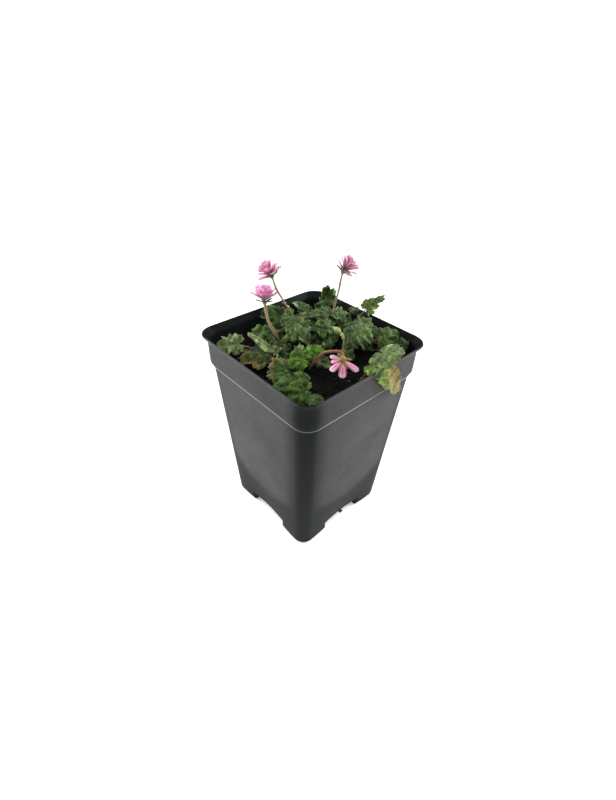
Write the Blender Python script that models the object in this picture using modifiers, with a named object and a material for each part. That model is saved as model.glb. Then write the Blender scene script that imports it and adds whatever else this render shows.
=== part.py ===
"""Potted erodium: a small plant with double pink flowers in a square black nursery pot.

Lengths are in metres, and MM is one millimetre. +Z is up. The origin is the middle of
the pot's base, on the surface that the pot stands on. The plant's places are given in
millimetres from that origin, and placed() turns them into metres.
"""

import math
import random
from dataclasses import dataclass

import bmesh
import bpy
from mathutils import Vector

MM = 0.001
GAP = 0.3 * MM

# Pot, outside
POT_HEIGHT = 124 * MM
BASE_HALF = 35.5 * MM
BASE_CORNER = 7.6 * MM
STEP_HEIGHT = 104.5 * MM
STEP_HALF = 42.1 * MM
STEP_CORNER = 8.5 * MM
BEAD_SIZE = 0.6 * MM
COLLAR_HALF = 43.9 * MM
RIM_HALF = 46 * MM
RIM_CORNER = 10 * MM
WALL = 1.0 * MM

# Lower part of each wall, pressed in between the corners
PRESS_DEPTH = 1.5 * MM
PRESS_HEIGHT = 78 * MM
PRESS_HALF = 27 * MM

# Feet, floor and drain holes
FOOT_HEIGHT = 7.4 * MM
FOOT_END = 14 * MM
FOOT_SOLE = 1.2 * MM
FLOOR_TOP = FOOT_HEIGHT + 1.0 * MM
HOLE_RADIUS = 3.5 * MM
HOLE_REACH = 23 * MM

# Soil
SOIL_HEIGHT = 111.5 * MM
SOIL_BUMP = 0.9 * MM
SOIL_GRAIN = 0.4 * MM
SOIL_RINGS = (0.985, 0.8, 0.55, 0.27)
SOIL_GAP = 0.4 * MM
HOLE_PLAY = 0.4 * MM
STEM_RADIUS = 1.6 * MM
STEM_FOOT = 104 * MM
STEM_TOP = 114 * MM

# Plant
BLADE = 0.65 * MM
PETIOLE_RADIUS = 0.55 * MM
PETAL = 0.6 * MM
BROAD_LEAF = 15
PETAL_START = 0.7 * MM

# A leaf that drapes over the rim bends here and hangs just outside it
DRAPE_EDGE = 45.6 * MM
DRAPE_BEND = 1.2 * MM
DRAPE_LINES = 3

CORNER_STEPS = 4
SIDE_STEPS = 3
FLAT_ANGLE = 1.0

POT_PLASTIC = ("black polypropylene", (0.035, 0.037, 0.038), 0.45)
PEAT = ("peat", (0.018, 0.014, 0.012), 0.95)
LEAF_GREEN = ("erodium leaf", (0.11, 0.20, 0.075), 0.7)
LEAF_YELLOW = ("yellowed leaf", (0.45, 0.34, 0.08), 0.7)
LEAF_DRY = ("dried leaf", (0.42, 0.33, 0.2), 0.8)
STALK_BROWN = ("flower stalk", (0.32, 0.19, 0.13), 0.65)
STALK_GREEN = ("green stalk", (0.35, 0.45, 0.14), 0.65)
PETAL_PINK = ("double petal", (0.68, 0.22, 0.45), 0.6)
PETAL_PALE = ("pale petal", (0.78, 0.38, 0.58), 0.6)


@dataclass
class Leaf:
    """One blade on its stalk. Places are in millimetres, angles in degrees."""

    base: tuple
    tip: tuple
    width: float
    faces: tuple = (-44, 60)
    lobes: int = 7
    notch: float = 0.22
    back: float = 0.35
    fold: float = 0.15
    droop: float = 0.1
    wave: float = 0.05
    sweep: float = 150
    lean: float = 0.0
    drapes: bool = False


@dataclass
class Bloom:
    """One flower: where it is, which way it opens, and its rings of petals."""

    centre: tuple
    axis: tuple
    rings: tuple
    sepals: tuple
    route: tuple
    radius: float
    turn: float = 0.0


# Each ring of petals: how many, length, width, angle above the flower's plane
DOUBLE_RINGS = ((5, 8.0, 4.8, 14), (5, 7.2, 3.8, 40), (4, 5.8, 2.8, 66))
NODDING_RINGS = ((5, 8.6, 4.2, 34),)

# Sepals: how many, length, width, angle above the flower's plane
DOUBLE_SEPALS = (5, 5.2, 1.9, -14)
NODDING_SEPALS = (5, 5.6, 2.4, 8)

# Crown of each leafy stem, in millimetres across the soil, and its leaves
LEAFY_STEMS = {
    "leafy_stem_left": ((-17, -20), (
        Leaf((-26, -32, 119.5), (-33.5, -42, 120.5), 14, (-44, 62), fold=0.1),
        Leaf((-4.5, -23, 122.5), (-25, -28.5, 125), 8, (-95, 5), lobes=5, fold=0.5),
        Leaf((-10.5, -24.5, 117), (-12.5, -39.5, 118.5), 18, (-60, 70)),
        Leaf((-20.5, -13, 119.5), (-33, -18, 121), 15),
        Leaf((-9, -12, 119), (-10, -21.5, 118), 10, lobes=5),
    )),
    "leafy_stem_far_left": ((-25, 4), (
        Leaf((-32.5, 4.5, 121.5), (-40, -6, 124), 15, (-44, 55)),
        Leaf((-24.5, 7, 126.5), (-24, -2.5, 124.5), 11, lobes=5),
        Leaf((-25.5, 1.5, 122), (-25, -8.5, 119), 9, lobes=5),
    )),
    "leafy_stem_back": ((-22, 29), (
        Leaf((-30.5, 24, 120), (-38.5, 20, 125), 9, (-20, 45), lobes=5),
        Leaf((-26, 38.5, 122), (-25, 38.5, 135), 9, (-44, 10), lobes=5),
        Leaf((-21, 36, 125.5), (-29, 27.5, 123), 14, (-44, 50)),
        Leaf((-14.5, 21.5, 125), (-19.5, 13, 126), 9, (-44, 70), lobes=5),
        Leaf((-13, 21.5, 127), (-3.5, 25, 127), 9, (-44, 70), lobes=5),
    )),
    "leafy_stem_back_right": ((-3, 32), (
        Leaf((-7, 26.5, 124), (-8, 36, 127), 11, (-44, 50), lobes=5),
        Leaf((3, 40, 130), (11, 45, 139), 10, (-110, 30), lobes=5),
    )),
    "leafy_stem_right": ((16, 27), (
        Leaf((14, 25, 123.5), (2.5, 41, 127), 14, (-44, 65)),
        Leaf((13.5, 21.5, 125), (2.5, 23, 125), 12, (-60, 60)),
        Leaf((16, 17, 126), (25, 23, 124), 15, (-44, 65)),
        Leaf((12.5, 32, 121), (19, 34, 122.5), 8, lobes=5),
        Leaf((13.5, 21.5, 120), (13.5, 13, 117.5), 9, lobes=5),
        Leaf((24.5, 29, 123.5), (28, 41.5, 125), 13),
        Leaf((18.5, 34, 119), (26, 33, 118), 9, lobes=5),
        Leaf((32.5, 35.5, 119.5), (34, 42, 121.5), 10, lobes=5),
        Leaf((17.5, 8, 120), (24, 9.5, 118), 8, lobes=5),
    )),
    "leafy_stem_rim": ((31, 15), (
        Leaf((39.5, 11, 128.2), (49.3, 12.5, 128), 21, (-44, 84), lobes=9, fold=0.1, back=0.5,
             sweep=155),
    )),
    "leafy_stem_front_centre": ((9, -10), (
        Leaf((11, -16, 121), (3.5, -21, 121), 12, (-44, 65)),
        Leaf((11, -8, 119.5), (6, -8, 124.5), 13, (-44, 57), back=0.15),
        Leaf((7.5, -15.5, 124), (3, -14, 126), 6, (-44, 45), fold=0.6, lobes=5),
        Leaf((12, -5.5, 117), (21.5, -5.5, 117), 8, lobes=5),
    )),
    "leafy_stem_front_left": ((17, -25), (
        Leaf((11.5, -28.5, 120), (7, -37.5, 119), 18, (-60, 60)),
        Leaf((22, -27, 117), (12.5, -27, 118.5), 11, (-44, 52), lobes=3, notch=0.05, back=0.15),
        Leaf((24.5, -31.5, 118), (15, -40, 119), 10, (-80, 60), lobes=5),
    )),
    "leafy_stem_front": ((31, -27), (
        Leaf((30.5, -31.5, 119), (26.5, -42.5, 119), 14, (-60, 52)),
        Leaf((37, -33.5, 119), (42, -32.5, 121), 8, lobes=5),
    )),
    "leafy_stem_centre": ((-8, 6), (
        Leaf((-14, -0.5, 125.5), (-0.5, -2.5, 122), 13),
        Leaf((-20.2, 13, 123.9), (-21.8, 6.8, 124.2), 6.5, lobes=5),
        Leaf((-6, 13.5, 122), (-6.5, 5.5, 119), 11, lobes=5),
        Leaf((-4.5, 12.5, 124.5), (-3.5, 22, 123.5), 11, lobes=5),
        Leaf((-4, 16.5, 118), (-0.5, 5.5, 117), 9, lobes=5),
        Leaf((3.5, 11.5, 118), (3, 5.5, 118), 6, lobes=5),
        Leaf((-9, -3, 121), (-16, -10, 121), 7, lobes=5),
    )),
}

# Leaves that have changed colour, each on a stalk of its own
OTHER_LEAVES = {
    "yellowed_leaf": (
        (36, 2),
        Leaf((43.5, 3.5, 125.5), (68.5, 20.5, 125.5), 14, (0, 90), fold=0.02, droop=0, wave=0.01,
             back=0.3, lean=0.3, drapes=True),
        LEAF_YELLOW,
    ),
    "dried_leaf": (
        (-2, 37),
        Leaf((-4.5, 36, 127), (-2.5, 42, 128), 4, (-44, 50), lobes=3),
        LEAF_DRY,
    ),
}

BLOOMS = {
    "low_left": (
        Bloom((-39.4, -2.2, 137.5), (-0.1, 0.05, 1), DOUBLE_RINGS, DOUBLE_SEPALS,
              ((-16, -8, 104), (-16, -8, 114), (-21, -7.5, 119), (-28.3, -7, 125), (-36, -4, 131.5)),
              0.95, 0.3),
        STALK_BROWN, PETAL_PINK),
    "tall_left": (
        Bloom((-39.8, 1.5, 149), (-0.3, -0.1, 1), DOUBLE_RINGS, DOUBLE_SEPALS,
              ((-29, 13, 104), (-29, 13, 114), (-30.5, 9.5, 124), (-32.4, 6.2, 132), (-33.6, 2.8, 140)),
              0.6, 0.9),
        STALK_BROWN, PETAL_PINK),
    "tall_right": (
        Bloom((-12.2, 36.3, 152), (0.15, 0.1, 1), DOUBLE_RINGS, DOUBLE_SEPALS,
              ((-12, 27, 104), (-12, 27, 114), (-13, 29.7, 127), (-13.5, 34.3, 137), (-14.2, 36.6, 146)),
              0.6, 0.5),
        STALK_BROWN, PETAL_PINK),
    "nodding": (
        Bloom((30.4, -7.5, 126.5), (0.35, -0.35, -0.87), NODDING_RINGS, NODDING_SEPALS,
              ((11, -12, 104), (11, -12, 114), (17.4, -9.3, 125), (22.7, -9.1, 129), (27.5, -5.5, 129.5)),
              0.65, 0.0),
        STALK_BROWN, PETAL_PALE),
}

BUD_ROUTE = ((11.5, 13, 104), (11.5, 13, 114), (13.3, 11.5, 123), (12, 9.9, 128))
BUD_TIP = (8.3, 7.2, 131)
BUD_RADIUS = 1.5 * MM
BUD_STALK_RADIUS = 0.6 * MM


def placed(point):
    """Turn a place in millimetres into metres."""
    return Vector(point) * MM


def material_of(finish):
    """Make or reuse the material of a finish: name, colour and roughness."""
    name, colour, roughness = finish
    material = bpy.data.materials.get(name)
    if material is None:
        material = bpy.data.materials.new(name)
        material.use_nodes = True
        shader = material.node_tree.nodes["Principled BSDF"]
        shader.inputs["Base Color"].default_value = (*colour, 1)
        shader.inputs["Roughness"].default_value = roughness
        material.diffuse_color = (*colour, 1)
    return material


def mesh_object(name, shape, collection, finish=None):
    """Turn a bmesh into an object in a collection."""
    mesh = bpy.data.meshes.new(name)
    shape.to_mesh(mesh)
    shape.free()
    thing = bpy.data.objects.new(name, mesh)
    collection.objects.link(thing)
    if finish is not None:
        mesh.materials.append(material_of(finish))
    return thing


def mesh_of(thing):
    """The mesh of an object as its modifiers leave it."""
    bpy.context.view_layer.update()
    evaluated = thing.evaluated_get(bpy.context.evaluated_depsgraph_get())
    return bpy.data.meshes.new_from_object(evaluated)


def hidden_collection(name):
    """A collection for cutters and loose pieces that are not part of the model."""
    collection = bpy.data.collections.new(name)
    bpy.context.scene.collection.children.link(collection)
    return collection


def remove(things):
    """Remove objects that have done their work."""
    for thing in list(things):
        bpy.data.objects.remove(thing)


def rounded_square(half, corner, height, pressed=0.0):
    """Points round a square with round corners, pressed in at the middle of each side."""
    points = []
    straight = half - corner
    for quarter in range(4):
        turn = quarter * math.pi / 2
        side = []
        for step in range(CORNER_STEPS + 1):
            angle = step / CORNER_STEPS * math.pi / 2
            side.append((straight + corner * math.cos(angle), straight + corner * math.sin(angle)))
        for step in range(1, SIDE_STEPS + 1):
            along = straight * (1 - 2 * step / (SIDE_STEPS + 1))
            reach = min(1.0, abs(along) / PRESS_HALF)
            inwards = pressed * math.cos(reach * math.pi / 2) ** 2
            side.append((along, half - inwards))
        for across, away in side:
            points.append(Vector((
                across * math.cos(turn) - away * math.sin(turn),
                across * math.sin(turn) + away * math.cos(turn),
                height,
            )))
    return points


def loft(levels):
    """A closed solid through rings of points, with a flat face at each end."""
    shape = bmesh.new()
    rings = []
    for points in levels:
        rings.append([shape.verts.new(point) for point in points])
    for low, high in zip(rings, rings[1:]):
        for index in range(len(low)):
            after = (index + 1) % len(low)
            shape.faces.new((low[index], low[after], high[after], high[index]))
    shape.faces.new(list(reversed(rings[0])))
    shape.faces.new(rings[-1])
    bmesh.ops.recalc_face_normals(shape, faces=shape.faces)
    return shape


def wall_half(height):
    """Half the pot's outside width at a height below the step."""
    return BASE_HALF + (STEP_HALF - BASE_HALF) * height / STEP_HEIGHT


def wall_corner(height):
    """Corner radius of the pot's outside at a height below the step."""
    return BASE_CORNER + (STEP_CORNER - BASE_CORNER) * height / STEP_HEIGHT


def press(height):
    """How far the middle of a wall is pressed in at a height."""
    return PRESS_DEPTH * max(0.0, 1 - height / PRESS_HEIGHT) ** 1.5


def wall_ring(height, inset):
    """The outline of the tapered wall at a height, or of its inside with an inset."""
    return rounded_square(wall_half(height) - inset, wall_corner(height) - inset, height, press(height))


def pot_outside():
    """Rings of the pot's outer face, from the feet to the lip's top edge."""
    rings = [rounded_square(BASE_HALF - 0.7 * MM, BASE_CORNER - 0.7 * MM, 0, press(0))]
    for height in (0.8, 12, 28, 50, 78, 103.8):
        rings.append(wall_ring(height * MM, 0))
    bead = STEP_HALF + BEAD_SIZE
    rings.append(rounded_square(bead, STEP_CORNER + BEAD_SIZE, STEP_HEIGHT - 0.2 * MM))
    rings.append(rounded_square(bead, STEP_CORNER + BEAD_SIZE, STEP_HEIGHT + 0.4 * MM))
    rings.append(rounded_square(STEP_HALF + 0.35 * MM, STEP_CORNER, STEP_HEIGHT + 0.6 * MM))
    rings.append(rounded_square(COLLAR_HALF, RIM_CORNER, STEP_HEIGHT + 2.6 * MM))
    rings.append(rounded_square(COLLAR_HALF + 0.2 * MM, RIM_CORNER, POT_HEIGHT - 3.4 * MM))
    rings.append(rounded_square(RIM_HALF - 0.6 * MM, RIM_CORNER, POT_HEIGHT - 1.4 * MM))
    rings.append(rounded_square(RIM_HALF, RIM_CORNER, POT_HEIGHT - 0.5 * MM))
    rings.append(rounded_square(RIM_HALF - 0.3 * MM, RIM_CORNER, POT_HEIGHT))
    return rings


def cavity(inset):
    """Rings of the pot's inside from the raised floor to the collar, drawn in by an inset."""
    rings = []
    for height in (FLOOR_TOP / MM, 28, 50, 78, 104):
        rings.append(wall_ring(height * MM, WALL + inset))
    rings[0] = [point + Vector((0, 0, inset)) for point in rings[0]]
    collar = COLLAR_HALF - WALL - inset
    rings.append(rounded_square(collar, RIM_CORNER - WALL - inset, STEP_HEIGHT + 3.4 * MM))
    return rings


def foot_pocket(name, x, y, inset, collection, finish=None):
    """A block with round upright edges that fills the hollow of one foot."""
    low = WALL + FOOT_END
    high = BASE_HALF - 1.6 * MM
    size = high - low - 2 * inset
    shape = bmesh.new()
    bmesh.ops.create_cube(shape, size=1)
    bottom = FOOT_SOLE + inset
    top = FLOOR_TOP + 1 * MM
    bmesh.ops.scale(shape, vec=(size, size, top - bottom), verts=shape.verts)
    middle = (low + high) / 2
    bmesh.ops.translate(shape, vec=(x * middle, y * middle, (top + bottom) / 2), verts=shape.verts)
    upright = [edge for edge in shape.edges if abs(edge.verts[0].co.z - edge.verts[1].co.z) > MM]
    bmesh.ops.bevel(shape, geom=upright, offset=7.5 * MM - inset, segments=4, affect="EDGES", profile=0.5)
    return mesh_object(name, shape, collection, finish)


def cylinder(name, radius, bottom, top, x, y, collection, sides=12):
    """An upright cylinder."""
    shape = bmesh.new()
    bmesh.ops.create_cone(
        shape, cap_ends=True, segments=sides, radius1=radius, radius2=radius, depth=top - bottom)
    bmesh.ops.translate(shape, vec=(x, y, (top + bottom) / 2), verts=shape.verts)
    return mesh_object(name, shape, collection)


def shells(shape):
    """The vertices of each separate closed surface in a shape."""
    found = []
    seen = set()
    for first in shape.verts:
        if first in seen:
            continue
        seen.add(first)
        shell = [first]
        for vert in shell:
            for edge in vert.link_edges:
                other = edge.other_vert(vert)
                if other not in seen:
                    seen.add(other)
                    shell.append(other)
        found.append(shell)
    return found


def one_body(shape):
    """Keep the largest surface: sealed hollows are filled and loose scraps are dropped."""
    found = sorted(shells(shape), key=len)
    for shell in found[:-1]:
        bmesh.ops.delete(shape, geom=shell, context="VERTS")


def joined(base, tools, operation, collection, solver="EXACT"):
    """Apply one Boolean of a collection of tools to an object, and remove the tools."""
    for tool in tools:
        tool.hide_render = True
        tool.display_type = "WIRE"
    step = base.modifiers.new(operation.lower(), "BOOLEAN")
    step.operation = operation
    step.solver = solver
    step.operand_type = "COLLECTION"
    step.collection = collection
    mesh = mesh_of(base)
    base.modifiers.remove(step)
    shape = bmesh.new()
    shape.from_mesh(mesh)
    one_body(shape)
    limit = math.radians(FLAT_ANGLE)
    bmesh.ops.dissolve_limit(shape, angle_limit=limit, verts=shape.verts, edges=shape.edges)
    bmesh.ops.triangulate(shape, faces=shape.faces)
    shape.to_mesh(mesh)
    shape.free()
    base.data = mesh
    remove(tools)
    return base


def build_pot(parts, workshop):
    """The pot: outer shell, cavity, raised floor on four hollow feet, drain holes."""
    pot = mesh_object("pot", loft(pot_outside()), parts, POT_PLASTIC)
    rings = cavity(0)
    rings.append(rounded_square(COLLAR_HALF - 0.8 * MM, RIM_CORNER - WALL, POT_HEIGHT - 3.2 * MM))
    rings.append(rounded_square(RIM_HALF - 1.5 * MM, RIM_CORNER - WALL, POT_HEIGHT - 1.2 * MM))
    rings.append(rounded_square(RIM_HALF - 1.0 * MM, RIM_CORNER - WALL, POT_HEIGHT + 0.5 * MM))
    tools = [mesh_object("cavity", loft(rings), workshop)]
    for x in (-1, 1):
        for y in (-1, 1):
            tools.append(foot_pocket("pocket", x, y, 0, workshop))
    for x, y in ((0, 0), (1, 0), (-1, 0), (0, 1), (0, -1)):
        x, y = x * HOLE_REACH, y * HOLE_REACH
        tools.append(cylinder("drain", HOLE_RADIUS, -MM, FLOOR_TOP + MM, x, y, workshop))
    joined(pot, tools, "DIFFERENCE", workshop)
    channels = []
    for angle in (0, math.pi / 2):
        shape = bmesh.new()
        bmesh.ops.create_cube(shape, size=1)
        bmesh.ops.scale(shape, vec=(4 * BASE_HALF, 2 * FOOT_END, 2 * FOOT_HEIGHT), verts=shape.verts)
        top_edges = []
        for edge in shape.edges:
            one, other = (vert.co for vert in edge.verts)
            if one.z > 0 and other.z > 0 and abs(one.y - other.y) < MM:
                top_edges.append(edge)
        bmesh.ops.bevel(shape, geom=top_edges, offset=2 * MM, segments=3, affect="EDGES", profile=0.5)
        channel = mesh_object("channel", shape, workshop)
        channel.rotation_euler = (0, 0, angle)
        channels.append(channel)
    joined(pot, channels, "DIFFERENCE", workshop)
    return pot


def soil_top(x, y):
    """Height of the uneven soil at a place."""
    a, b = x / MM, y / MM
    waves = math.sin(a * 0.31 + 1.1) * math.cos(b * 0.27) + 0.6 * math.sin(a * 0.13 - b * 0.41 + 2)
    return SOIL_HEIGHT + SOIL_BUMP * waves


def build_soil(parts, workshop):
    """The soil: it fills the pot, reaches down into the feet, and has a hole for each stem."""
    rings = cavity(SOIL_GAP)
    edge = rings[-1]
    chance = random.Random(7)
    for share in SOIL_RINGS:
        ring = []
        for point in edge:
            x, y = point.x * share, point.y * share
            ring.append(Vector((x, y, soil_top(x, y) + chance.uniform(-SOIL_GRAIN, SOIL_GRAIN))))
        rings.append(ring)
    soil = mesh_object("soil", loft(rings), parts, PEAT)
    feet = []
    for x in (-1, 1):
        for y in (-1, 1):
            feet.append(foot_pocket("soil foot", x, y, SOIL_GAP, workshop))
    joined(soil, feet, "UNION", workshop)
    holes = []
    for crown, _ in LEAFY_STEMS.values():
        holes.append((crown, STEM_RADIUS))
    for crown, _, _ in OTHER_LEAVES.values():
        holes.append((crown, PETIOLE_RADIUS * 1.4))
    for bloom, _, _ in BLOOMS.values():
        holes.append((bloom.route[0], bloom.radius * MM))
    holes.append((BUD_ROUTE[0], BUD_STALK_RADIUS))
    tools = []
    for place, radius in holes:
        x, y = place[0] * MM, place[1] * MM
        tools.append(cylinder("hole", radius + HOLE_PLAY, STEM_FOOT - GAP, POT_HEIGHT, x, y, workshop, 8))
    joined(soil, tools, "DIFFERENCE", workshop)
    return soil


def tube(name, points, radius, collection, tip=1.0, resolution=1):
    """A closed round stalk through points, thinner towards its end by the tip factor."""
    curve = bpy.data.curves.new(name, "CURVE")
    curve.dimensions = "3D"
    curve.bevel_depth = radius
    curve.bevel_resolution = resolution
    curve.use_fill_caps = True
    spline = curve.splines.new("POLY")
    spline.points.add(len(points) - 1)
    for index, point in enumerate(points):
        spline.points[index].co = (*point, 1)
        spline.points[index].radius = 1 + (tip - 1) * index / (len(points) - 1)
    thing = bpy.data.objects.new(name, curve)
    collection.objects.link(thing)
    mesh = mesh_of(thing)
    remove([thing])
    shape = bmesh.new()
    shape.from_mesh(mesh)
    bmesh.ops.remove_doubles(shape, verts=shape.verts, dist=0.01 * MM)
    bmesh.ops.triangulate(shape, faces=shape.faces)
    return mesh_object(name, shape, collection)


def bend(start, turn, end, steps):
    """Points along an arc from start to end that leans towards a turning point."""
    points = []
    for step in range(steps + 1):
        t = step / steps
        points.append(start * (1 - t) ** 2 + turn * 2 * t * (1 - t) + end * t * t)
    return points


def smooth_route(route, steps):
    """Points of a route: straight to its second place, then a smooth curve through the rest."""
    places = [placed(place) for place in route]
    points = [places[0]]
    ends = [*places, places[-1] * 2 - places[-2]]
    for a, b, c, d in zip(ends, ends[1:], ends[2:], ends[3:]):
        for step in range(steps):
            t = step / steps
            points.append(0.5 * (
                2 * b + (c - a) * t + (2 * a - 5 * b + 4 * c - d) * t ** 2 + (3 * b - a - 3 * c + d) * t ** 3
            ))
    points.append(places[-1])
    return points


def leaf_frame(leaf):
    """Base, length and the three directions of a blade: along, across and out of its face."""
    base = placed(leaf.base)
    along = placed(leaf.tip) - base
    length = along.length
    along.normalize()
    azimuth, height = (math.radians(angle) for angle in leaf.faces)
    level = math.cos(height)
    look = Vector((math.cos(azimuth) * level, math.sin(azimuth) * level, math.sin(height)))
    out = (look - along * look.dot(along)).normalized()
    return base, length, along, out.cross(along), out


def thickened(shape, thickness, name, collection):
    """Give an open sheet its thickness, the same triangles on both faces."""
    bmesh.ops.remove_doubles(shape, verts=shape.verts, dist=0.01 * MM)
    bmesh.ops.triangulate(shape, faces=shape.faces, quad_method="FIXED")
    bmesh.ops.recalc_face_normals(shape, faces=shape.faces)
    sheet = mesh_object(name, shape, collection)
    solid = sheet.modifiers.new("thickness", "SOLIDIFY")
    solid.thickness = thickness
    solid.offset = 0
    mesh = mesh_of(sheet)
    sheet.modifiers.remove(solid)
    sheet.data = mesh
    return sheet


def drape(shape, level):
    """Cut fold lines into a level sheet and bend what lies beyond the rim down over it."""
    bmesh.ops.remove_doubles(shape, verts=shape.verts, dist=0.01 * MM)
    quarter = DRAPE_BEND * math.pi / 2
    for line in range(DRAPE_LINES + 1):
        place = Vector((DRAPE_EDGE + quarter * line / DRAPE_LINES, 0, 0))
        everything = [*shape.verts, *shape.edges, *shape.faces]
        bmesh.ops.bisect_plane(shape, geom=everything, plane_co=place, plane_no=(1, 0, 0))
    for vert in shape.verts:
        beyond = max(0.0, vert.co.x - DRAPE_EDGE)
        angle = min(beyond, quarter) / DRAPE_BEND
        reach = DRAPE_BEND + vert.co.z - level
        vert.co.x = min(vert.co.x, DRAPE_EDGE) + reach * math.sin(angle)
        vert.co.z = level - DRAPE_BEND + reach * math.cos(angle) - max(0.0, beyond - quarter)


def blade(leaf, name, collection):
    """A lobed leaf blade: lobes spread like a fan round the end of its stalk."""
    base, length, along, across, out = leaf_frame(leaf)
    sweep = math.radians(leaf.sweep)
    half_width = leaf.width * MM / 2
    shape = bmesh.new()
    rows = 2 if leaf.width >= BROAD_LEAF else 1
    bmesh.ops.create_grid(shape, x_segments=leaf.lobes * 3, y_segments=rows, size=1)
    for vert in shape.verts:
        angle = vert.co.x * sweep
        share = (vert.co.y + 1) / 2
        reach = length if math.cos(angle) > 0 else length * leaf.back
        half = half_width * (1 + math.copysign(leaf.lean, -angle))
        round_off = abs(math.cos(angle) / reach) ** 2.3 + abs(math.sin(angle) / half) ** 2.3
        phase = (vert.co.x + 1) * leaf.lobes * math.pi
        notch = leaf.notch * (0.5 + 0.5 * math.cos(phase)) ** 1.6
        radius = share * round_off ** (-1 / 2.3) * (1 - notch)
        x, y = radius * math.cos(angle), radius * math.sin(angle)
        height = leaf.fold * abs(y) - leaf.droop * x * abs(x) / length
        height += leaf.wave * length * share * math.cos(phase)
        vert.co = base + along * x + across * y + out * height
    if leaf.drapes:
        drape(shape, base.z)
    return thickened(shape, BLADE, name, collection)


def petiole(leaf, crown, collection):
    """The stalk of a leaf, from the top of its stem to the base of its blade."""
    base, length, along, _, _ = leaf_frame(leaf)
    start = Vector((crown[0] * MM, crown[1] * MM, STEM_TOP - 1 * MM))
    reach = (base - start).length
    turn = base - along * reach * 0.3
    turn.z = max(turn.z, STEM_TOP)
    return tube("petiole", bend(start, turn, base + along * 0.4 * MM, 3), PETIOLE_RADIUS, collection, 1, 0)


def build_leafy_stem(name, crown, leaves, finish, parts, workshop, radius=STEM_RADIUS):
    """A leafy stem as one body: a short stem in the soil, its leaf stalks and blades."""
    foot = Vector((crown[0] * MM, crown[1] * MM, STEM_FOOT))
    top = Vector((crown[0] * MM, crown[1] * MM, STEM_TOP))
    stem = tube(name, [foot, top], radius, parts)
    stem.data.materials.append(material_of(finish))
    tools = []
    for leaf in leaves:
        tools.append(petiole(leaf, crown, workshop))
        tools.append(blade(leaf, "blade", workshop))
    return joined(stem, tools, "UNION", workshop, "MANIFOLD")


def petal(centre, axis, side, size, raised, name, collection, notch, cup, rows):
    """One petal or sepal: a spoon-shaped sheet from the flower's centre outwards."""
    length, width = size
    along = side * math.cos(raised) + axis * math.sin(raised)
    out = axis * math.cos(raised) - side * math.sin(raised)
    across = out.cross(along)
    shape = bmesh.new()
    bmesh.ops.create_grid(shape, x_segments=3, y_segments=rows, size=1)
    for vert in shape.verts:
        share = (vert.co.x + 1) / 2
        spread = vert.co.y
        half = width / 2 * (0.25 + 0.75 * math.sin(min(1.0, share * 1.25) * math.pi / 2) ** 1.5)
        half *= 1 - 0.35 * max(0.0, share - 0.75) / 0.25
        x = PETAL_START + (length - PETAL_START) * (share - notch * share ** 6 * (1 - spread ** 2))
        y = half * spread
        height = cup * half * spread ** 2 + 0.12 * length * share ** 2
        vert.co = centre + along * x + across * y + out * height
    return thickened(shape, PETAL, name, collection)


def ring_of(bloom, row, offset, start, notch, cup, rows, name, workshop):
    """A ring of petals or sepals round a flower's axis."""
    count, length, width, raised = row
    axis = Vector(bloom.axis).normalized()
    level = axis.orthogonal().normalized()
    other = axis.cross(level)
    made = []
    for index in range(count):
        angle = bloom.turn + start + index * 2 * math.pi / count
        side = level * math.cos(angle) + other * math.sin(angle)
        centre = placed(bloom.centre) + axis * offset
        size = (length * MM, width * MM)
        made.append(petal(centre, axis, side, size, math.radians(raised), name, workshop, notch, cup, rows))
    return made


def round_core(name, centre, radius, collection, finish=None):
    """A small round body that petals or sepals stand out of."""
    shape = bmesh.new()
    bmesh.ops.create_icosphere(shape, subdivisions=1, radius=radius)
    bmesh.ops.translate(shape, vec=centre, verts=shape.verts)
    return mesh_object(name, shape, collection, finish)


def build_bloom(name, bloom, stalk_finish, petal_finish, parts, workshop):
    """A flower: its stalk with sepals as one body, and its petals as another."""
    axis = Vector(bloom.axis).normalized()
    centre = placed(bloom.centre)
    core = 1.3 * MM
    seat = 1.2 * MM
    petals = round_core(f"petals_{name}", centre, core, parts, petal_finish)
    tools = []
    for number, row in enumerate(bloom.rings):
        offset = (number - 1) * 0.4 * MM
        tools += ring_of(bloom, row, offset, number * 0.6, 0.12, 0.5, 1 if number else 2, "petal", workshop)
    joined(petals, tools, "UNION", workshop, "MANIFOLD")
    cup_centre = centre - axis * (core + GAP + seat)
    calyx = round_core(f"stalk_{name}", cup_centre, seat, parts, stalk_finish)
    tools = ring_of(bloom, bloom.sepals, -(core + GAP + seat), 0.3, 0, 0.3, 1, "sepal", workshop)
    route = smooth_route((*bloom.route, tuple(cup_centre / MM)), 2)
    tools.append(tube("stalk", route, bloom.radius * MM, workshop, 0.9))
    joined(calyx, tools, "UNION", workshop, "MANIFOLD")


def build_bud(parts, workshop):
    """The closed bud on its thin stalk."""
    stalk = tube("bud", smooth_route(BUD_ROUTE, 3), BUD_STALK_RADIUS, parts, 0.9)
    stalk.data.materials.append(material_of(STALK_GREEN))
    start = placed(BUD_ROUTE[-1])
    way = placed(BUD_TIP) - start
    shape = bmesh.new()
    bmesh.ops.create_uvsphere(shape, u_segments=8, v_segments=6, radius=1)
    turn = way.to_track_quat("Z", "Y").to_matrix()
    for vert in shape.verts:
        share = (vert.co.z + 1) / 2
        girth = BUD_RADIUS * (1.1 - 0.5 * share)
        vert.co = start + turn @ Vector((vert.co.x * girth, vert.co.y * girth, share * way.length))
    tools = [mesh_object("bud body", shape, workshop)]
    return joined(stalk, tools, "UNION", workshop, "MANIFOLD")


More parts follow.
